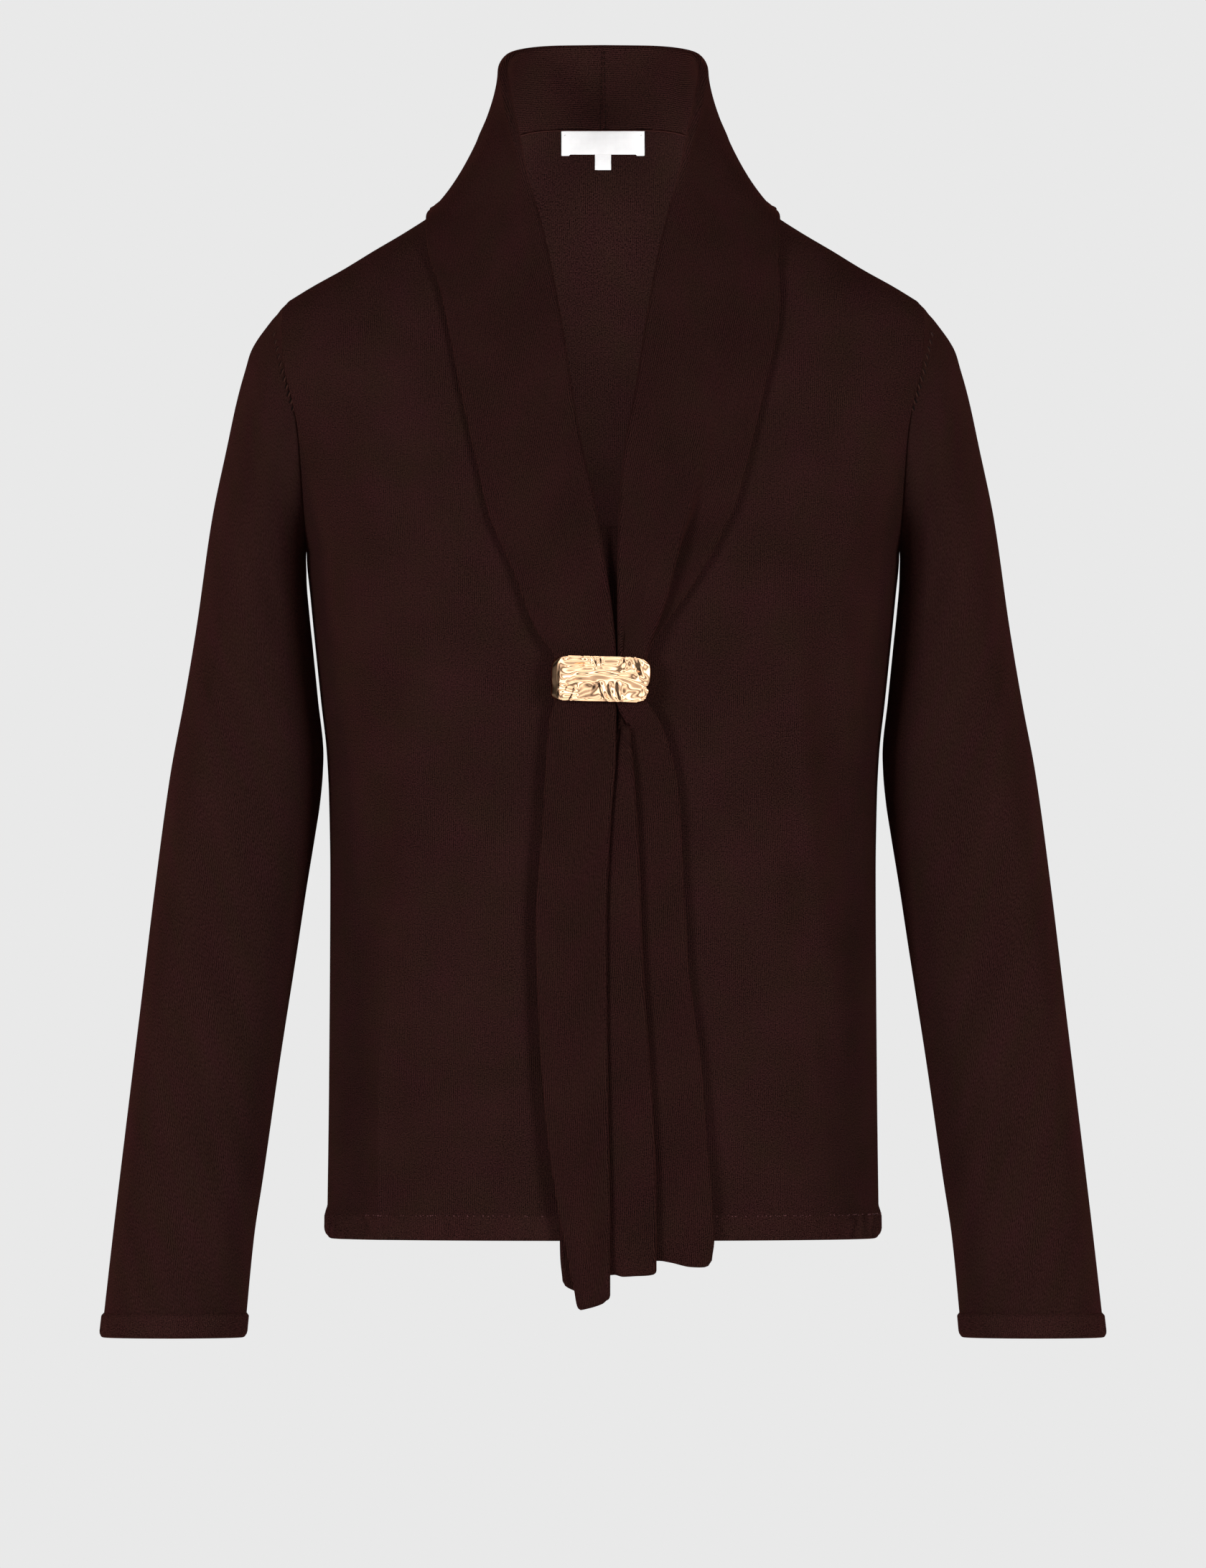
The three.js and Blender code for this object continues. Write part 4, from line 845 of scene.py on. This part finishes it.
def body_share(p):
    """How far out of the body's oval a place is: 1 on its face."""
    x, y, z = p[..., 0], p[..., 1], p[..., 2]
    row = z - NECK_RISE
    for halving in range(1, 11):
        ahead = row + NECK_RISE / 2**halving
        row = np.where(ahead + back_climb(ahead, x) < z, ahead, row)
    behind = y > 0
    top = np.minimum(np.where(behind, row, z), NECK_Z)
    reach = np.where(behind, section(BACK, top)[1], section(FRONT, top)[1])
    sizes = body_sizes(z)
    depth = np.where(behind, sizes.back, sizes.front)
    return (np.abs(x) / reach) ** ROUNDNESS + (np.abs(y) / depth) ** ROUNDNESS


def clear_of_body(points, clearance):
    """Moves points straight out of the body until their near face is clear of it.

    Each pass moves a point by what its share of the oval lacks, divided by the share's slope there.
    Above the neck seam there is no body, so the move fades away.
    """
    fade = 1 - smooth(points[..., 2:] / 38)
    first = points
    for _ in range(10):
        slope = np.stack([body_share(points + d) - body_share(points - d) for d in np.eye(3) / 2], -1)
        out = unit(slope)
        lack = 1 - body_share(points - clearance * out)
        points = points + out * np.clip(lack / np.linalg.norm(slope, axis=-1), 0, 4)[..., None]
    return mix(first, points, fade)


def standing_section(station, side, falls):
    """Collar round the neck: up from the neck seam, over the roll and down to the outer edge."""
    row = standing_collar(station)
    down = seam_down(row.seam).z
    neck_x = front_neck_line(down).x
    front = vector(neck_x, front_face(neck_x, down), down)
    back = on_back(np.full(len(station), NECK_Z), np.minimum(row.seam, 1))
    neck = np.where((row.seam <= 1)[:, None], back, front)
    inwards = unit(neck * [-1, -1, 0])
    seam = neck + SEAM_IN * inwards + [0, 0, SEAM_UP]
    tip = vector(row.roll_x, row.roll_y, row.roll_z)
    edge = vector(row.edge_x, row.edge_y, row.edge_z)
    outwards = unit(tip * [1, 1, 0])
    rise = tip - seam
    up = unit(rise - (rise * outwards).sum(1, keepdims=True) * outwards)
    centre = tip - up * (ROLL_RADIUS + COLLAR / 2)
    inner, outer = centre - outwards * ROLL_RADIUS, centre + outwards * ROLL_RADIUS
    stand = bezier(seam, seam + 12 * up, inner - 12 * up, inner, np.linspace(0, 1, STAND + 1))
    bend = (math.pi * np.linspace(0, 1, ROLL + 1)[1:])[None, :, None]
    swing = up[:, None] * np.sin(bend) - outwards[:, None] * np.cos(bend)
    roll = centre[:, None] + ROLL_RADIUS * swing
    handle = row.handle[:, None]
    lead = edge - unit(edge * [1, 1, 0]) * handle * 0.6 + handle * [0, 0, 0.45]
    fall = bezier(outer, outer - up * handle, lead, edge, np.linspace(0, 1, falls + 1)[1:])
    clear = clear_of_body(np.concatenate([roll[:, -1:], fall], 1), COLLAR_CLEAR)
    points = np.concatenate([stand, roll[:, :-1], clear], 1)
    return points * [side, 1, 1]


def lying_section(row, side, pleated):
    """Collar down the front and the tails: each point by how far out and how high over the body."""
    def of(values):
        return values[:, None]

    tip = row.roll_x + COLLAR / 2
    t = np.linspace(0, 1, STAND + 1)[None]
    bend = math.pi * np.linspace(0, 1, ROLL + 1)[None, 1:]
    out = np.concatenate([
        mix(of(row.seam_x), of(tip + row.fold), t),
        of(tip) + of(row.fold) * (1 - np.sin(bend)),
    ], 1)
    high = np.concatenate([
        mix(of(row.seam_high), of(row.low), smooth(1.3 * t)),
        of(row.low) + of(row.fold) * (1 - np.cos(bend)),
    ], 1)
    if pleated:
        # Past the fold line the cloth turns under, runs back and turns out again, falling as it goes.
        part = (np.arange(TURN) + 0.5)[None] / TURN
        turn = np.radians(of(row.turn))
        heading = np.concatenate([part * turn, np.repeat(turn, UNDER, 1), (1 - part) * turn], 1)
        arc = np.repeat(of(row.arc), TURN, 1) / TURN
        long = np.concatenate([arc, np.repeat(of(row.under), UNDER, 1) / UNDER, arc], 1)
        drop = (long * np.sin(heading)).sum(1, keepdims=True)
        t = np.linspace(0, 1, AHEAD + 1)[None, 1:]
        ahead = mix(out[:, -1:], of(row.fold_x), t)
        dip = of(row.groove) * np.exp(-(((of(row.fold_x) - GROOVE_BACK - ahead) / 4) ** 2))
        level = mix(high[:, -1:], of(row.lie) + drop, smooth(1.6 * t)) - dip
        under = ahead[:, -1:] + np.cumsum(long * np.cos(heading), 1)
        under_high = level[:, -1:] - np.cumsum(long * np.sin(heading), 1)
        out = np.concatenate([out, ahead, under], 1)
        high = np.concatenate([high, level, under_high], 1)
    t = np.linspace(0, 1, (BEYOND if pleated else FALL) + 1)[None, 1:]
    out = np.concatenate([out, mix(out[:, -1:], of(row.edge_x), t)], 1)
    high = np.concatenate([high, mix(high[:, -1:], of(row.edge_high), smooth(t))], 1)
    share = np.clip((out - of(row.roll_x)) / of(row.edge_x - row.roll_x), 0, 1)
    z = mix(of(row.roll_z), of(row.edge_z), share)
    up = np.linspace(0, 1, STAND + 1)[None]
    z[:, :STAND + 1] = mix(of(row.seam_z), of(row.roll_z), up)
    return vector(side * out, front_face(side * out, z) - high, z)


def collar_grid(station, side):
    """The collar's middle surface: standing sections that turn into lying ones over stations 6 to 8."""
    pleated = side == LEFT
    falls = AHEAD + 2 * TURN + UNDER + BEYOND if pleated else FALL
    laid = smooth((station - 6) / 2)[:, None, None]
    flat = lying_section((left_lying if pleated else right_lying)(station), side, pleated)
    early = station < 8
    grid = flat
    standing = standing_section(station[early], side, falls)
    grid[early] = mix(standing, flat[early], laid[early])
    grid[0, :, 0] = side * 0.1
    return grid


# How far each column's end stands up from a straight cut, so that the tails' corners are round.
right_end = Table("column raised", [
    [0, 6.2], [1, 4.4], [3, 3.4], [10, 2.6], [17, 3.7], [20, 5.3], [24, 4.3], [28, 2.7], [32, 1.7],
    [46, 0.7], [60, 0.4], [63.5, 1.7], [65, 3.9], [66, 6.1],
])
left_end = Table("column raised", [
    [0, 5.3], [3, 2.8], [26, 2.3], [34, 2.1], [38, 0.4], [44, -0.1], [50, -0.6], [54, 0.1], [59, 3.8],
    [66, 7.5], [76, 7.5], [81.4, 7.1], [85.4, 5.2], [91.8, 1.2], [96.2, 0.2], [97.3, 0.9], [98, 3.2],
])
ROUNDED_OVER = 22.0  # the ends' shape fades away this far up the tails


def collar_half(side, name):
    """Half of the collar with its tail: smooth on the wearer's right, pleated on the left.

    Its rows are close together at the seam at the centre back, and again inside the slide and just
    below it, where the pleat rolls over.
    """
    rough = np.linspace(0, LAST_STATION, 200)
    pace = np.linalg.norm(np.diff(collar_grid(rough, side), axis=0), axis=2).mean(1)
    travelled = np.concatenate([[0], np.cumsum(pace)])
    knot_start, knot_end = np.interp(KNOT, rough, travelled)
    ways = [0.0]
    for reach, steps in [(SEAM_REACH, 10), (knot_start, 169), (knot_end, 61), (travelled[-1], 89)]:
        ways.extend(np.linspace(ways[-1], reach, steps + 1)[1:])
    ways = np.array(ways)
    station = np.interp(ways, travelled, rough)
    grid = collar_grid(station, side)
    ends = (left_end if side == LEFT else right_end)(np.arange(grid.shape[1])).raised
    near_end = smooth(1 - (travelled[-1] - ways) / ROUNDED_OVER)
    grid[..., 2] += near_end[:, None] * ends
    # The seam at the centre back: a low ridge with a sunk line beside it.
    seam = 0.12 * np.exp(-((ways / 0.8) ** 2)) - 0.4 * np.exp(-(((ways - 1.5) / 0.45) ** 2))
    below_roll = smooth((STAND - 1 - np.arange(grid.shape[1])) / 4)
    across = run(grid, 1)
    # The knit's columns run straight down this line of the fall.
    straight = grid.shape[1] - 12 if side == LEFT else STAND + ROLL + 14
    uv = np.stack([across - across[:, [straight]], run(grid, 0)], -1)

    def trim(offset):
        offset = offset.copy()
        offset[0, :, 0] = 0
        return offset

    bulge = np.full(grid.shape[:2], COLLAR / 2)
    bulge[0] = 0.2
    bulge[:, 0] = 0.3
    return wall(name, grid, COLLAR, BODY_MIDDLE, collar_knit, uv, lift=COLLAR / 2, bulge=bulge,
                relief=seam[:, None] * below_roll, trim=trim)


# ---------------------------------------------------------------- the slide

SLIDE_X, SLIDE_Z = -1.3, -288.0
SLIDE_WIDE, SLIDE_HIGH = 28.8, 13.0  # halves
SLIDE_BACK, SLIDE_FRONT = 0.8, 12.3  # over the front's face
SLIDE_WALL, SLIDE_CORNER = 1.3, 3.0
SLIDE_TILT = math.radians(-1.5)
# Half widths of the beaten plate by height, from its own middle, before its corners are rounded. Left
# and right are as seen from the front.
slide_edges = Table("z left right", [
    [-13, 28.3, 26.3], [-10, 28.5, 27.0], [-7, 28.3, 28.3], [-5.4, 28.2, 28.0], [-4.3, 28.2, 26.9],
    [-3.2, 28.3, 27.9], [0, 28.6, 28.7], [4, 28.6, 28.8], [8, 28.5, 28.6], [13, 28.4, 27.6],
])
CORNERS = {LEFT: (5.0, 2.6), RIGHT: (7.0, 3.4)}  # radii at the plate's top and bottom, by wearer's side
# Beaten ridges and troughs, from the plate's own middle. The long rows run across the plate: z0, x0,
# z1, x1, bow, half width, height. The upright rows run up it: x0, z0, x1, z1, bow and the same.
plate_long = [
    (9.8, -23.6, 9.9, -5.4, 0.0, 1.35, 0.95), (4.9, -22.6, 7.7, 10.6, 0.3, 1.35, 0.85),
    (7.4, -22.0, 8.4, -3.0, 0.0, 0.8, -0.4), (-3.4, -27.0, -3.4, 25.6, 5.8, 1.7, 1.1),
    (-6.4, -25.0, -3.4, 1.0, 3.6, 1.1, -0.5), (-5.0, -25.5, -6.4, -11.5, 0.5, 1.3, 0.75),
    (11.0, 0.0, 11.3, 12.0, 0.0, 1.1, 0.6), (8.8, 0.5, 9.2, 11.0, 0.0, 0.8, -0.4),
    (2.0, 8.0, 3.6, 25.0, 1.2, 1.2, -0.6), (-9.8, -22.0, -10.6, -12.0, 0.9, 1.2, 0.6),
]
plate_upright = [
    (-3.2, 1.0, -10.4, -14.6, 0.3, 2.5, -0.95), (-14.0, -3.0, -18.5, -14.6, 1.0, 1.3, 0.7),
    (0.6, -0.6, 5.2, -13.8, -1.8, 1.2, 0.85), (5.6, -1.0, 9.6, -13.4, -1.6, 1.1, 0.75),
    (3.4, -1.0, 7.2, -13.6, -1.7, 0.9, -0.45), (-6.6, 14.4, -3.2, 4.8, 0.8, 1.1, -0.7),
    (14.0, 14.4, 13.6, 2.6, 0.2, 1.3, 0.75), (17.0, 14.4, 21.4, 0.6, 0.4, 1.3, -0.75),
    (21.2, 14.4, 24.2, 1.0, 0.4, 1.2, 0.8), (10.6, 0.4, 13.4, -13.8, -1.0, 1.2, 0.75),
    (8.2, 0.6, 11.4, -13.8, -1.2, 0.8, -0.4), (-0.6, 14.4, 0.4, 5.0, 0.5, 0.9, 0.55),
    (-19.6, 1.0, -22.4, -9.0, 0.8, 1.2, -0.5), (-9.6, 14.0, -8.8, 5.0, -0.6, 1.1, 0.4),
]


def corner_cut(z, top, bottom):
    """How far a rounded corner draws the plate's end in: r - sqrt(r² - d²) for d past its start."""
    radius = np.where(z > 0, top, bottom)
    past = np.clip(np.abs(z) - (SLIDE_HIGH - radius), 0, radius)
    return radius - np.sqrt(radius**2 - past**2)


def plate_relief(x, z):
    """Height of the beaten face: crossing ridges, a deep square dent, and two flat facets at the ends."""
    height = ridges(plate_long, z, x) + ridges(plate_upright, x, z)
    dent = np.exp(-(((x - 20.0) / 4.6) ** 4 + ((z + 8.0) / 4.2) ** 4))
    left_facet = -0.42 * np.clip(-23.6 - x, 0, None)
    right_facet = -0.3 * np.clip(x - 25.0, 0, None)
    height = height + 0.32 * np.sin(0.46 * x + 1.3 * np.sin(0.34 * z)) * np.sin(0.52 * z + 0.9)
    height = height * smooth((x + 25.0) / 2.0)
    return height - 1.1 * dent + left_facet + right_facet


def slide():
    """The slide: a flat loop round both tails, its front plate beaten and its ends uneven."""
    def arc(x, high, start):
        turn = np.radians(start + np.linspace(0, 90, 9))
        return x + SLIDE_CORNER * np.cos(turn), high + SLIDE_CORNER * np.sin(turn)

    inset = SLIDE_WIDE - SLIDE_CORNER
    face = np.linspace(inset, -inset, 180)[1:-1]
    under = np.linspace(-inset, inset, 24)[1:-1]
    runs = [
        arc(inset, SLIDE_FRONT - SLIDE_CORNER, 0), (face, np.full(len(face), SLIDE_FRONT)),
        arc(-inset, SLIDE_FRONT - SLIDE_CORNER, 90), arc(-inset, SLIDE_BACK + SLIDE_CORNER, 180),
        (under, np.full(len(under), SLIDE_BACK)), arc(inset, SLIDE_BACK + SLIDE_CORNER, 270),
    ]
    x = np.concatenate([part[0] for part in runs])[None]
    high = np.concatenate([part[1] for part in runs])[None]
    share = np.sin(np.linspace(math.pi / 2, -math.pi / 2, 84))[:, None]
    edges = slide_edges(share * SLIDE_HIGH)
    left = edges.left - corner_cut(share * SLIDE_HIGH, *CORNERS[RIGHT])
    right = edges.right - corner_cut(share * SLIDE_HIGH, *CORNERS[LEFT])
    x = x * np.where(x < 0, left, right) / SLIDE_WIDE
    on_face = smooth((high - SLIDE_FRONT / 2) / (SLIDE_FRONT / 2))
    z = share * (SLIDE_HIGH - 0.5) + 0 * x
    # The plate's rims are drawn in a little, as a beaten sheet's are.
    drawn_in = 0.3 * smooth((np.abs(share) - 0.93) / 0.07)
    out = high + (plate_relief(x, z) - drawn_in) * on_face
    turned_x = SLIDE_X + x * math.cos(SLIDE_TILT) - z * math.sin(SLIDE_TILT)
    turned_z = SLIDE_Z + x * math.sin(SLIDE_TILT) + z * math.cos(SLIDE_TILT)
    grid = vector(turned_x, front_face(0, turned_z) - out, turned_z)
    middle = (SLIDE_X, front_face(0.0, np.array(SLIDE_Z)) - SLIDE_FRONT / 2, SLIDE_Z)
    return wall("beaten_slide", grid, SLIDE_WALL, middle, gold, plain_uv(grid, closed=True), closed=True,
                bulge=SLIDE_WALL / 2, trim=lambda offset: offset * [1, 1, 0])


# ---------------------------------------------------------------- labels

def inside_back(x, z, inwards):
    """A place on the inner side of the back, that far in from its outer face."""
    share = (np.abs(x) / NECK_X) ** ROUNDNESS
    return body_sizes(z).back * (1 - share) ** (1 / ROUNDNESS) - inwards


def label(name, half_wide, top, bottom, puff, tabs):
    """A bare label: a small ribbon sheet inside the back neck, a little puffed between its ends.

    Its folded ends hang below the rest at both lower corners, by the length given as tabs.
    """
    x = np.linspace(-half_wide, half_wide, 60)[None]
    share = np.linspace(0, 1, 30)[:, None]
    tab_wide, tab_slope = 5.0, 0.8
    ends = smooth((np.abs(x) - half_wide + tab_wide) / tab_slope) * tabs
    z = mix(top, bottom - ends, share)
    lift = puff * (1 - (x / half_wide) ** 4) * np.sin(math.pi * share) ** 0.7
    y = inside_back(x, z, CLOTH + 0.5 + LABEL) - lift
    grid = vector(x, y, z)
    return wall(name, grid, LABEL, (0, 100, 20), label_satin, plain_uv(grid), bulge=LABEL / 2)


# ---------------------------------------------------------------- building

def with_sheet(piece, cad_node):
    finish_piece(piece, cad_node)


with_sheet(front_panel(), "front_panel")
with_sheet(back_panel(), "back_panel")
for side, word in SIDES:
    with_sheet(sleeve(side, f"sleeve_{word}_jersey"), f"sleeve_{word}")
    with_sheet(cuff(side, f"cuff_{word}_rib"), f"cuff_{word}")
    with_sheet(collar_half(side, f"collar_{word}_band"), f"collar_{word}")
for face, word in FACES:
    with_sheet(hem_band(face, f"{word}_hem_rib"), f"{word}_hem_band")
finish_piece(slide(), "buckle")
neck_label = label("neck_label_satin", 24, top=32.3, bottom=18.7, puff=0.5, tabs=0.8)
with_sheet(neck_label, "neck_label")
size_tab = label("size_tab_satin", 4.5, top=18.8, bottom=9.7, puff=0.2, tabs=0.0)
with_sheet(size_tab, "size_tab")


def hem_links():
    """Linking stitches along the hem seam: small slanted dots of yarn at uneven pace, paler than the knit
    as a painted highlight.
    """
    rng = np.random.default_rng(7)
    proud = FLARE + 0.1
    for face, word in FACES:
        across = np.sort(rng.uniform(-0.62, 0.985, 120))
        count = len(across)
        z = HEM_SEAM + rng.uniform(-0.35, 0.25, count)
        here = on_section(face, z, across, proud)
        ahead = on_section(face, z, across + 0.004, proud)
        out = unit(here * [1, 1, 0])
        along = unit(ahead - here) + vector(0, 0, rng.uniform(-0.5, 0.5, count))
        long = rng.uniform(0.5, 1.1, count)
        made = stitches(f"{word}_hem_links", here, along, out, long, 0.5, 0.5, highlit_linking_yarn)
        finish_piece(made)


def armhole_marks():
    """Fashioning marks beside each armhole seam, where stitches were moved in.

    Each is a leaning slit, a near-black piece of painted shade, with a raised stitch beside it, towards the
    body.
    """
    count = 11
    z = np.linspace(-88, -131, count)
    away = np.linspace(0.86, 0.34, count)  # ring rows from the seam
    rings = sleeve_rings(away)
    front_turn = np.arccos(((rings.outer + rings.inner) / 2 - z) / ((rings.outer - rings.inner) / 2))
    for side, word in SIDES:
        for face, where in FACES:
            turn = front_turn if face == FRONT else 2 * math.pi - front_turn
            here = on_sleeve_row(side, turn, away)
            round_it = on_sleeve_row(side, turn + 0.02, away) - on_sleeve_row(side, turn - 0.02, away)
            down = on_sleeve_row(side, turn, away + 0.05) - on_sleeve_row(side, turn, away - 0.05)
            out = unit(np.cross(round_it, down))
            out *= np.sign(out[:, 1:2] * here[:, 1:2])
            along = vector(np.full(count, -side * 0.42), 0, 1)
            beside = unit(np.cross(along, out))
            beside = 1.1 * beside * np.sign(-side * beside[:, :1])
            start = f"sleeve_{word}_{where}"
            # The slits are near-black pieces that stand for the shade in the moved stitches' holes: painted
            # shade.
            slit_shade = stitches(f"{start}_gaps", here, along, out, 3.6, 1.3, 0.7, painted_gap_shade)
            moved = stitches(f"{start}_moved", here + beside, along, out, 3.8, 1.2, 1.1, raised_yarn)
            finish_piece(slit_shade)
            finish_piece(moved)


def centre_back_seam_shade():
    """Two rows of sunk linking stitches up the inside of the collar, where its halves are joined, coloured
    near black as painted shade in the sunk seam lines.
    """
    rough = np.linspace(0, 0.4, 81)
    from_seam = 1.6
    for side, word in SIDES:
        grid = collar_grid(rough, side)[:, :STAND + 1]
        nearest = np.argmin(np.abs(np.abs(grid[:, 0, 0]) - from_seam))
        column = grid[max(nearest, 1)]
        steps = STAND * np.linspace(0.02, 0.96, 14)
        middle = np.stack([np.interp(steps, np.arange(STAND + 1), column[:, k]) for k in range(3)], 1)
        middle = middle - [0, COLLAR / 2 + 0.02, 0]
        along = np.gradient(middle, axis=0)
        out = vector(0, -1, 0) + 0 * middle
        # Painted shade: the near-black stitches darken the sunk seam lines.
        made = stitches(f"centre_back_{word}_links", middle, along, out, 2.5, 0.55, 0.24, painted_gap_shade)
        finish_piece(made)


def neck_ridge():
    """The linked edge where the collar meets the back neck: a thin raised cord inside the seam."""
    steps, sides, radius = 120, 10, 0.36
    edge = on_back(np.full(steps + 1, NECK_Z), np.linspace(-1, 1, steps + 1))
    middle = edge + 2.5 * unit(edge * [-1, -1, 0]) + [0, 0, -0.3]
    ahead = unit(np.gradient(middle, axis=0))
    up = np.array([0.0, 0.0, 1.0])
    side = np.cross(ahead, up)
    turn = np.linspace(0, 2 * math.pi, sides, endpoint=False)
    ring = side[:, None] * np.cos(turn)[None, :, None] + up * np.sin(turn)[None, :, None]
    points = (middle[:, None] + radius * ring).reshape(-1, 3)
    _, _, faces = grid_faces(steps + 1, sides, closed=True)
    finish_piece(make_object("neck_ridge", points, faces.tolist(), neck_yarn))


def label_tacks():
    """Tacking stitches at the label's upper corners."""
    x = np.array([-22.2, 22.2])
    z = np.full(2, 29.7)
    here = vector(x, inside_back(x, z, CLOTH + 0.5 + 2 * LABEL), z)
    along = vector(1, 0, 0.6) + 0 * here
    out = vector(0 * x, -1, 0)
    made = stitches("label_tacks", here, along, out, 1.1, 0.35, 0.3, tacking_thread)
    finish_piece(made)


hem_links()
armhole_marks()
centre_back_seam_shade()
neck_ridge()
label_tacks()


# ---------------------------------------------------------------- studio

ROOM_LIGHT = 0.04  # even light from all round on the cloth
MIDDLE, LOWER = (0, 0, -0.3), (0, 0, -0.35)  # what the lights face, in metres


def studio_floor():
    """A plain pale disc, well below the hanging sweater."""
    material, tree = new_material("floor_matt_paint")
    grain = node(tree, "ShaderNodeTexNoise", [("Scale", 6.0), ("Detail", 4.0)])
    tone = blend(tree, grain.outputs[0], colour("#e6e6e6"), colour("#efefef"))
    finish_material(tree, tone, 0.9, ("Specular IOR Level", 0.1))
    radius, level, corners = 3000, -1500, 64
    turn = np.linspace(0, 2 * math.pi, corners, endpoint=False)
    rim = vector(radius * np.cos(turn), radius * np.sin(turn), level)
    n = np.arange(corners)
    faces = np.stack([0 * n, 1 + n, 1 + (n + 1) % corners], 1).tolist()
    floor = make_object("studio_floor", np.concatenate([[[0, 0, level]], rim]), faces, material)
    floor.visible_glossy = False


def soft_light(name, place, target, size, watts, code):
    """A softbox that faces a point."""
    data = bpy.data.lights.new(name, "AREA")
    data.shape = "RECTANGLE"
    data.size, data.size_y = size
    data.energy = watts
    data.color = colour(code)[:3]
    lamp = bpy.data.objects.new(name, data)
    bpy.context.scene.collection.objects.link(lamp)
    lamp.location = place
    lamp.visible_glossy = False  # the metal mirrors the room's panels instead
    towards = np.array(target, float) - np.array(place, float)
    flat = math.hypot(towards[0], towards[1])
    lamp.rotation_euler = (math.atan2(flat, -towards[2]), 0, math.atan2(-towards[0], towards[1]))


def studio_world():
    """A pale backdrop, with a dim even room for the cloth and light and dark panels for the metal."""
    world = bpy.data.worlds.new("studio")
    world.use_nodes = True
    bpy.context.scene.world = world
    tree = world.node_tree
    tree.nodes.clear()
    heading = node(tree, "ShaderNodeTexCoord")
    apart = node(tree, "ShaderNodeSeparateXYZ", [(0, heading.outputs["Generated"])])
    # Panels from the floor to the ceiling, by the sine of their height: position, brightness.
    panels = [
        (0.0, 0.6), (0.1, 0.9), (0.18, 2.6), (0.26, 2.4), (0.3, 0.7), (0.335, 0.1), (0.37, 0.5),
        (0.42, 1.0), (0.46, 1.9), (0.485, 1.4), (0.515, 0.75), (0.55, 0.42), (0.58, 0.7), (0.62, 2.6),
        (0.69, 3.6), (0.74, 0.8), (0.79, 0.12), (0.85, 0.8), (1.0, 2.6),
    ]
    place = calculate(tree, "MULTIPLY_ADD", apart.outputs["X"], 0.36, apart.outputs["Z"])
    share = calculate(tree, "MULTIPLY_ADD", place, 0.5, 0.5)
    ramp = node(tree, "ShaderNodeValToRGB", [(0, share)])
    brightest = max(bright for _, bright in panels)
    stops = ramp.color_ramp.elements
    stops.remove(stops[1])
    for number, (position, bright) in enumerate(panels):
        stop = stops[0] if number == 0 else stops.new(position)
        stop.position = position
        stop.color = [bright / brightest] * 3 + [1.0]
    # A black flag stands far to the left.
    flag_inputs = [(0, apart.outputs["X"]), (1, -0.74), (2, -0.5), (3, 0.05), (4, 1.0)]
    flag = node(tree, "ShaderNodeMapRange", flag_inputs)
    strength = calculate(tree, "MULTIPLY", flag.outputs[0], brightest)
    path = node(tree, "ShaderNodeLightPath")

    def background(shade, level):
        return node(tree, "ShaderNodeBackground", [("Color", shade), ("Strength", level)]).outputs[0]

    def choose(ray, otherwise, chosen):
        inputs = [(0, path.outputs[ray]), (1, otherwise), (2, chosen)]
        return node(tree, "ShaderNodeMixShader", inputs).outputs[0]

    room = background(colour("#fff8f4"), ROOM_LIGHT)
    seen = choose("Is Glossy Ray", room, background(ramp.outputs[0], strength))
    both = choose("Is Camera Ray", seen, background(colour("#e9e9e9"), 1.0))
    node(tree, "ShaderNodeOutputWorld", [("Surface", both)])


def studio_camera():
    """A long lens 14 m in front of the sweater, level with its middle."""
    distance, framed_high, eye = 14.0, 0.910417, -0.3485
    data = bpy.data.cameras.new("camera")
    data.angle = 2 * math.atan(framed_high / 2 / distance)
    data.clip_end = 200
    camera = bpy.data.objects.new("camera", data)
    bpy.context.scene.collection.objects.link(camera)
    camera.location = (0, -distance, eye)
    camera.rotation_euler = (math.pi / 2, 0, 0)
    bpy.context.scene.camera = camera


studio_floor()
studio_world()
studio_camera()
# Name, place and target in metres, width and height, watts, colour.
softboxes = [
    ("front", (0.4, -15.0, 0.6), MIDDLE, (4.0, 4.0), 160, "#ffffff"),
    ("left", (-7.4, -7.6, 1.4), MIDDLE, (3.0, 4.0), 860, "#ffffff"),
    ("right", (7.4, -7.6, 1.0), MIDDLE, (3.0, 4.0), 820, "#ffffff"),
    ("rim_left", (-2.6, 0.2, 0.0), LOWER, (0.6, 1.8), 26, "#ffd2c2"),
    ("rim_right", (2.6, 0.2, 0.0), LOWER, (0.6, 1.8), 18, "#ffd2c2"),
    ("neck_fill", (0, -0.05, -0.09), (0, 0.1, -0.09), (0.03, 0.22), 0.3, "#ffffff"),
    ("behind_left", (-5.0, 8.0, 1.6), MIDDLE, (3.0, 3.0), 420, "#ffffff"),
    ("behind_right", (5.0, 8.0, 1.2), MIDDLE, (3.0, 3.0), 340, "#ffffff"),
]
for softbox in softboxes:
    soft_light(*softbox)
bpy.context.scene.view_settings.view_transform = "Standard"
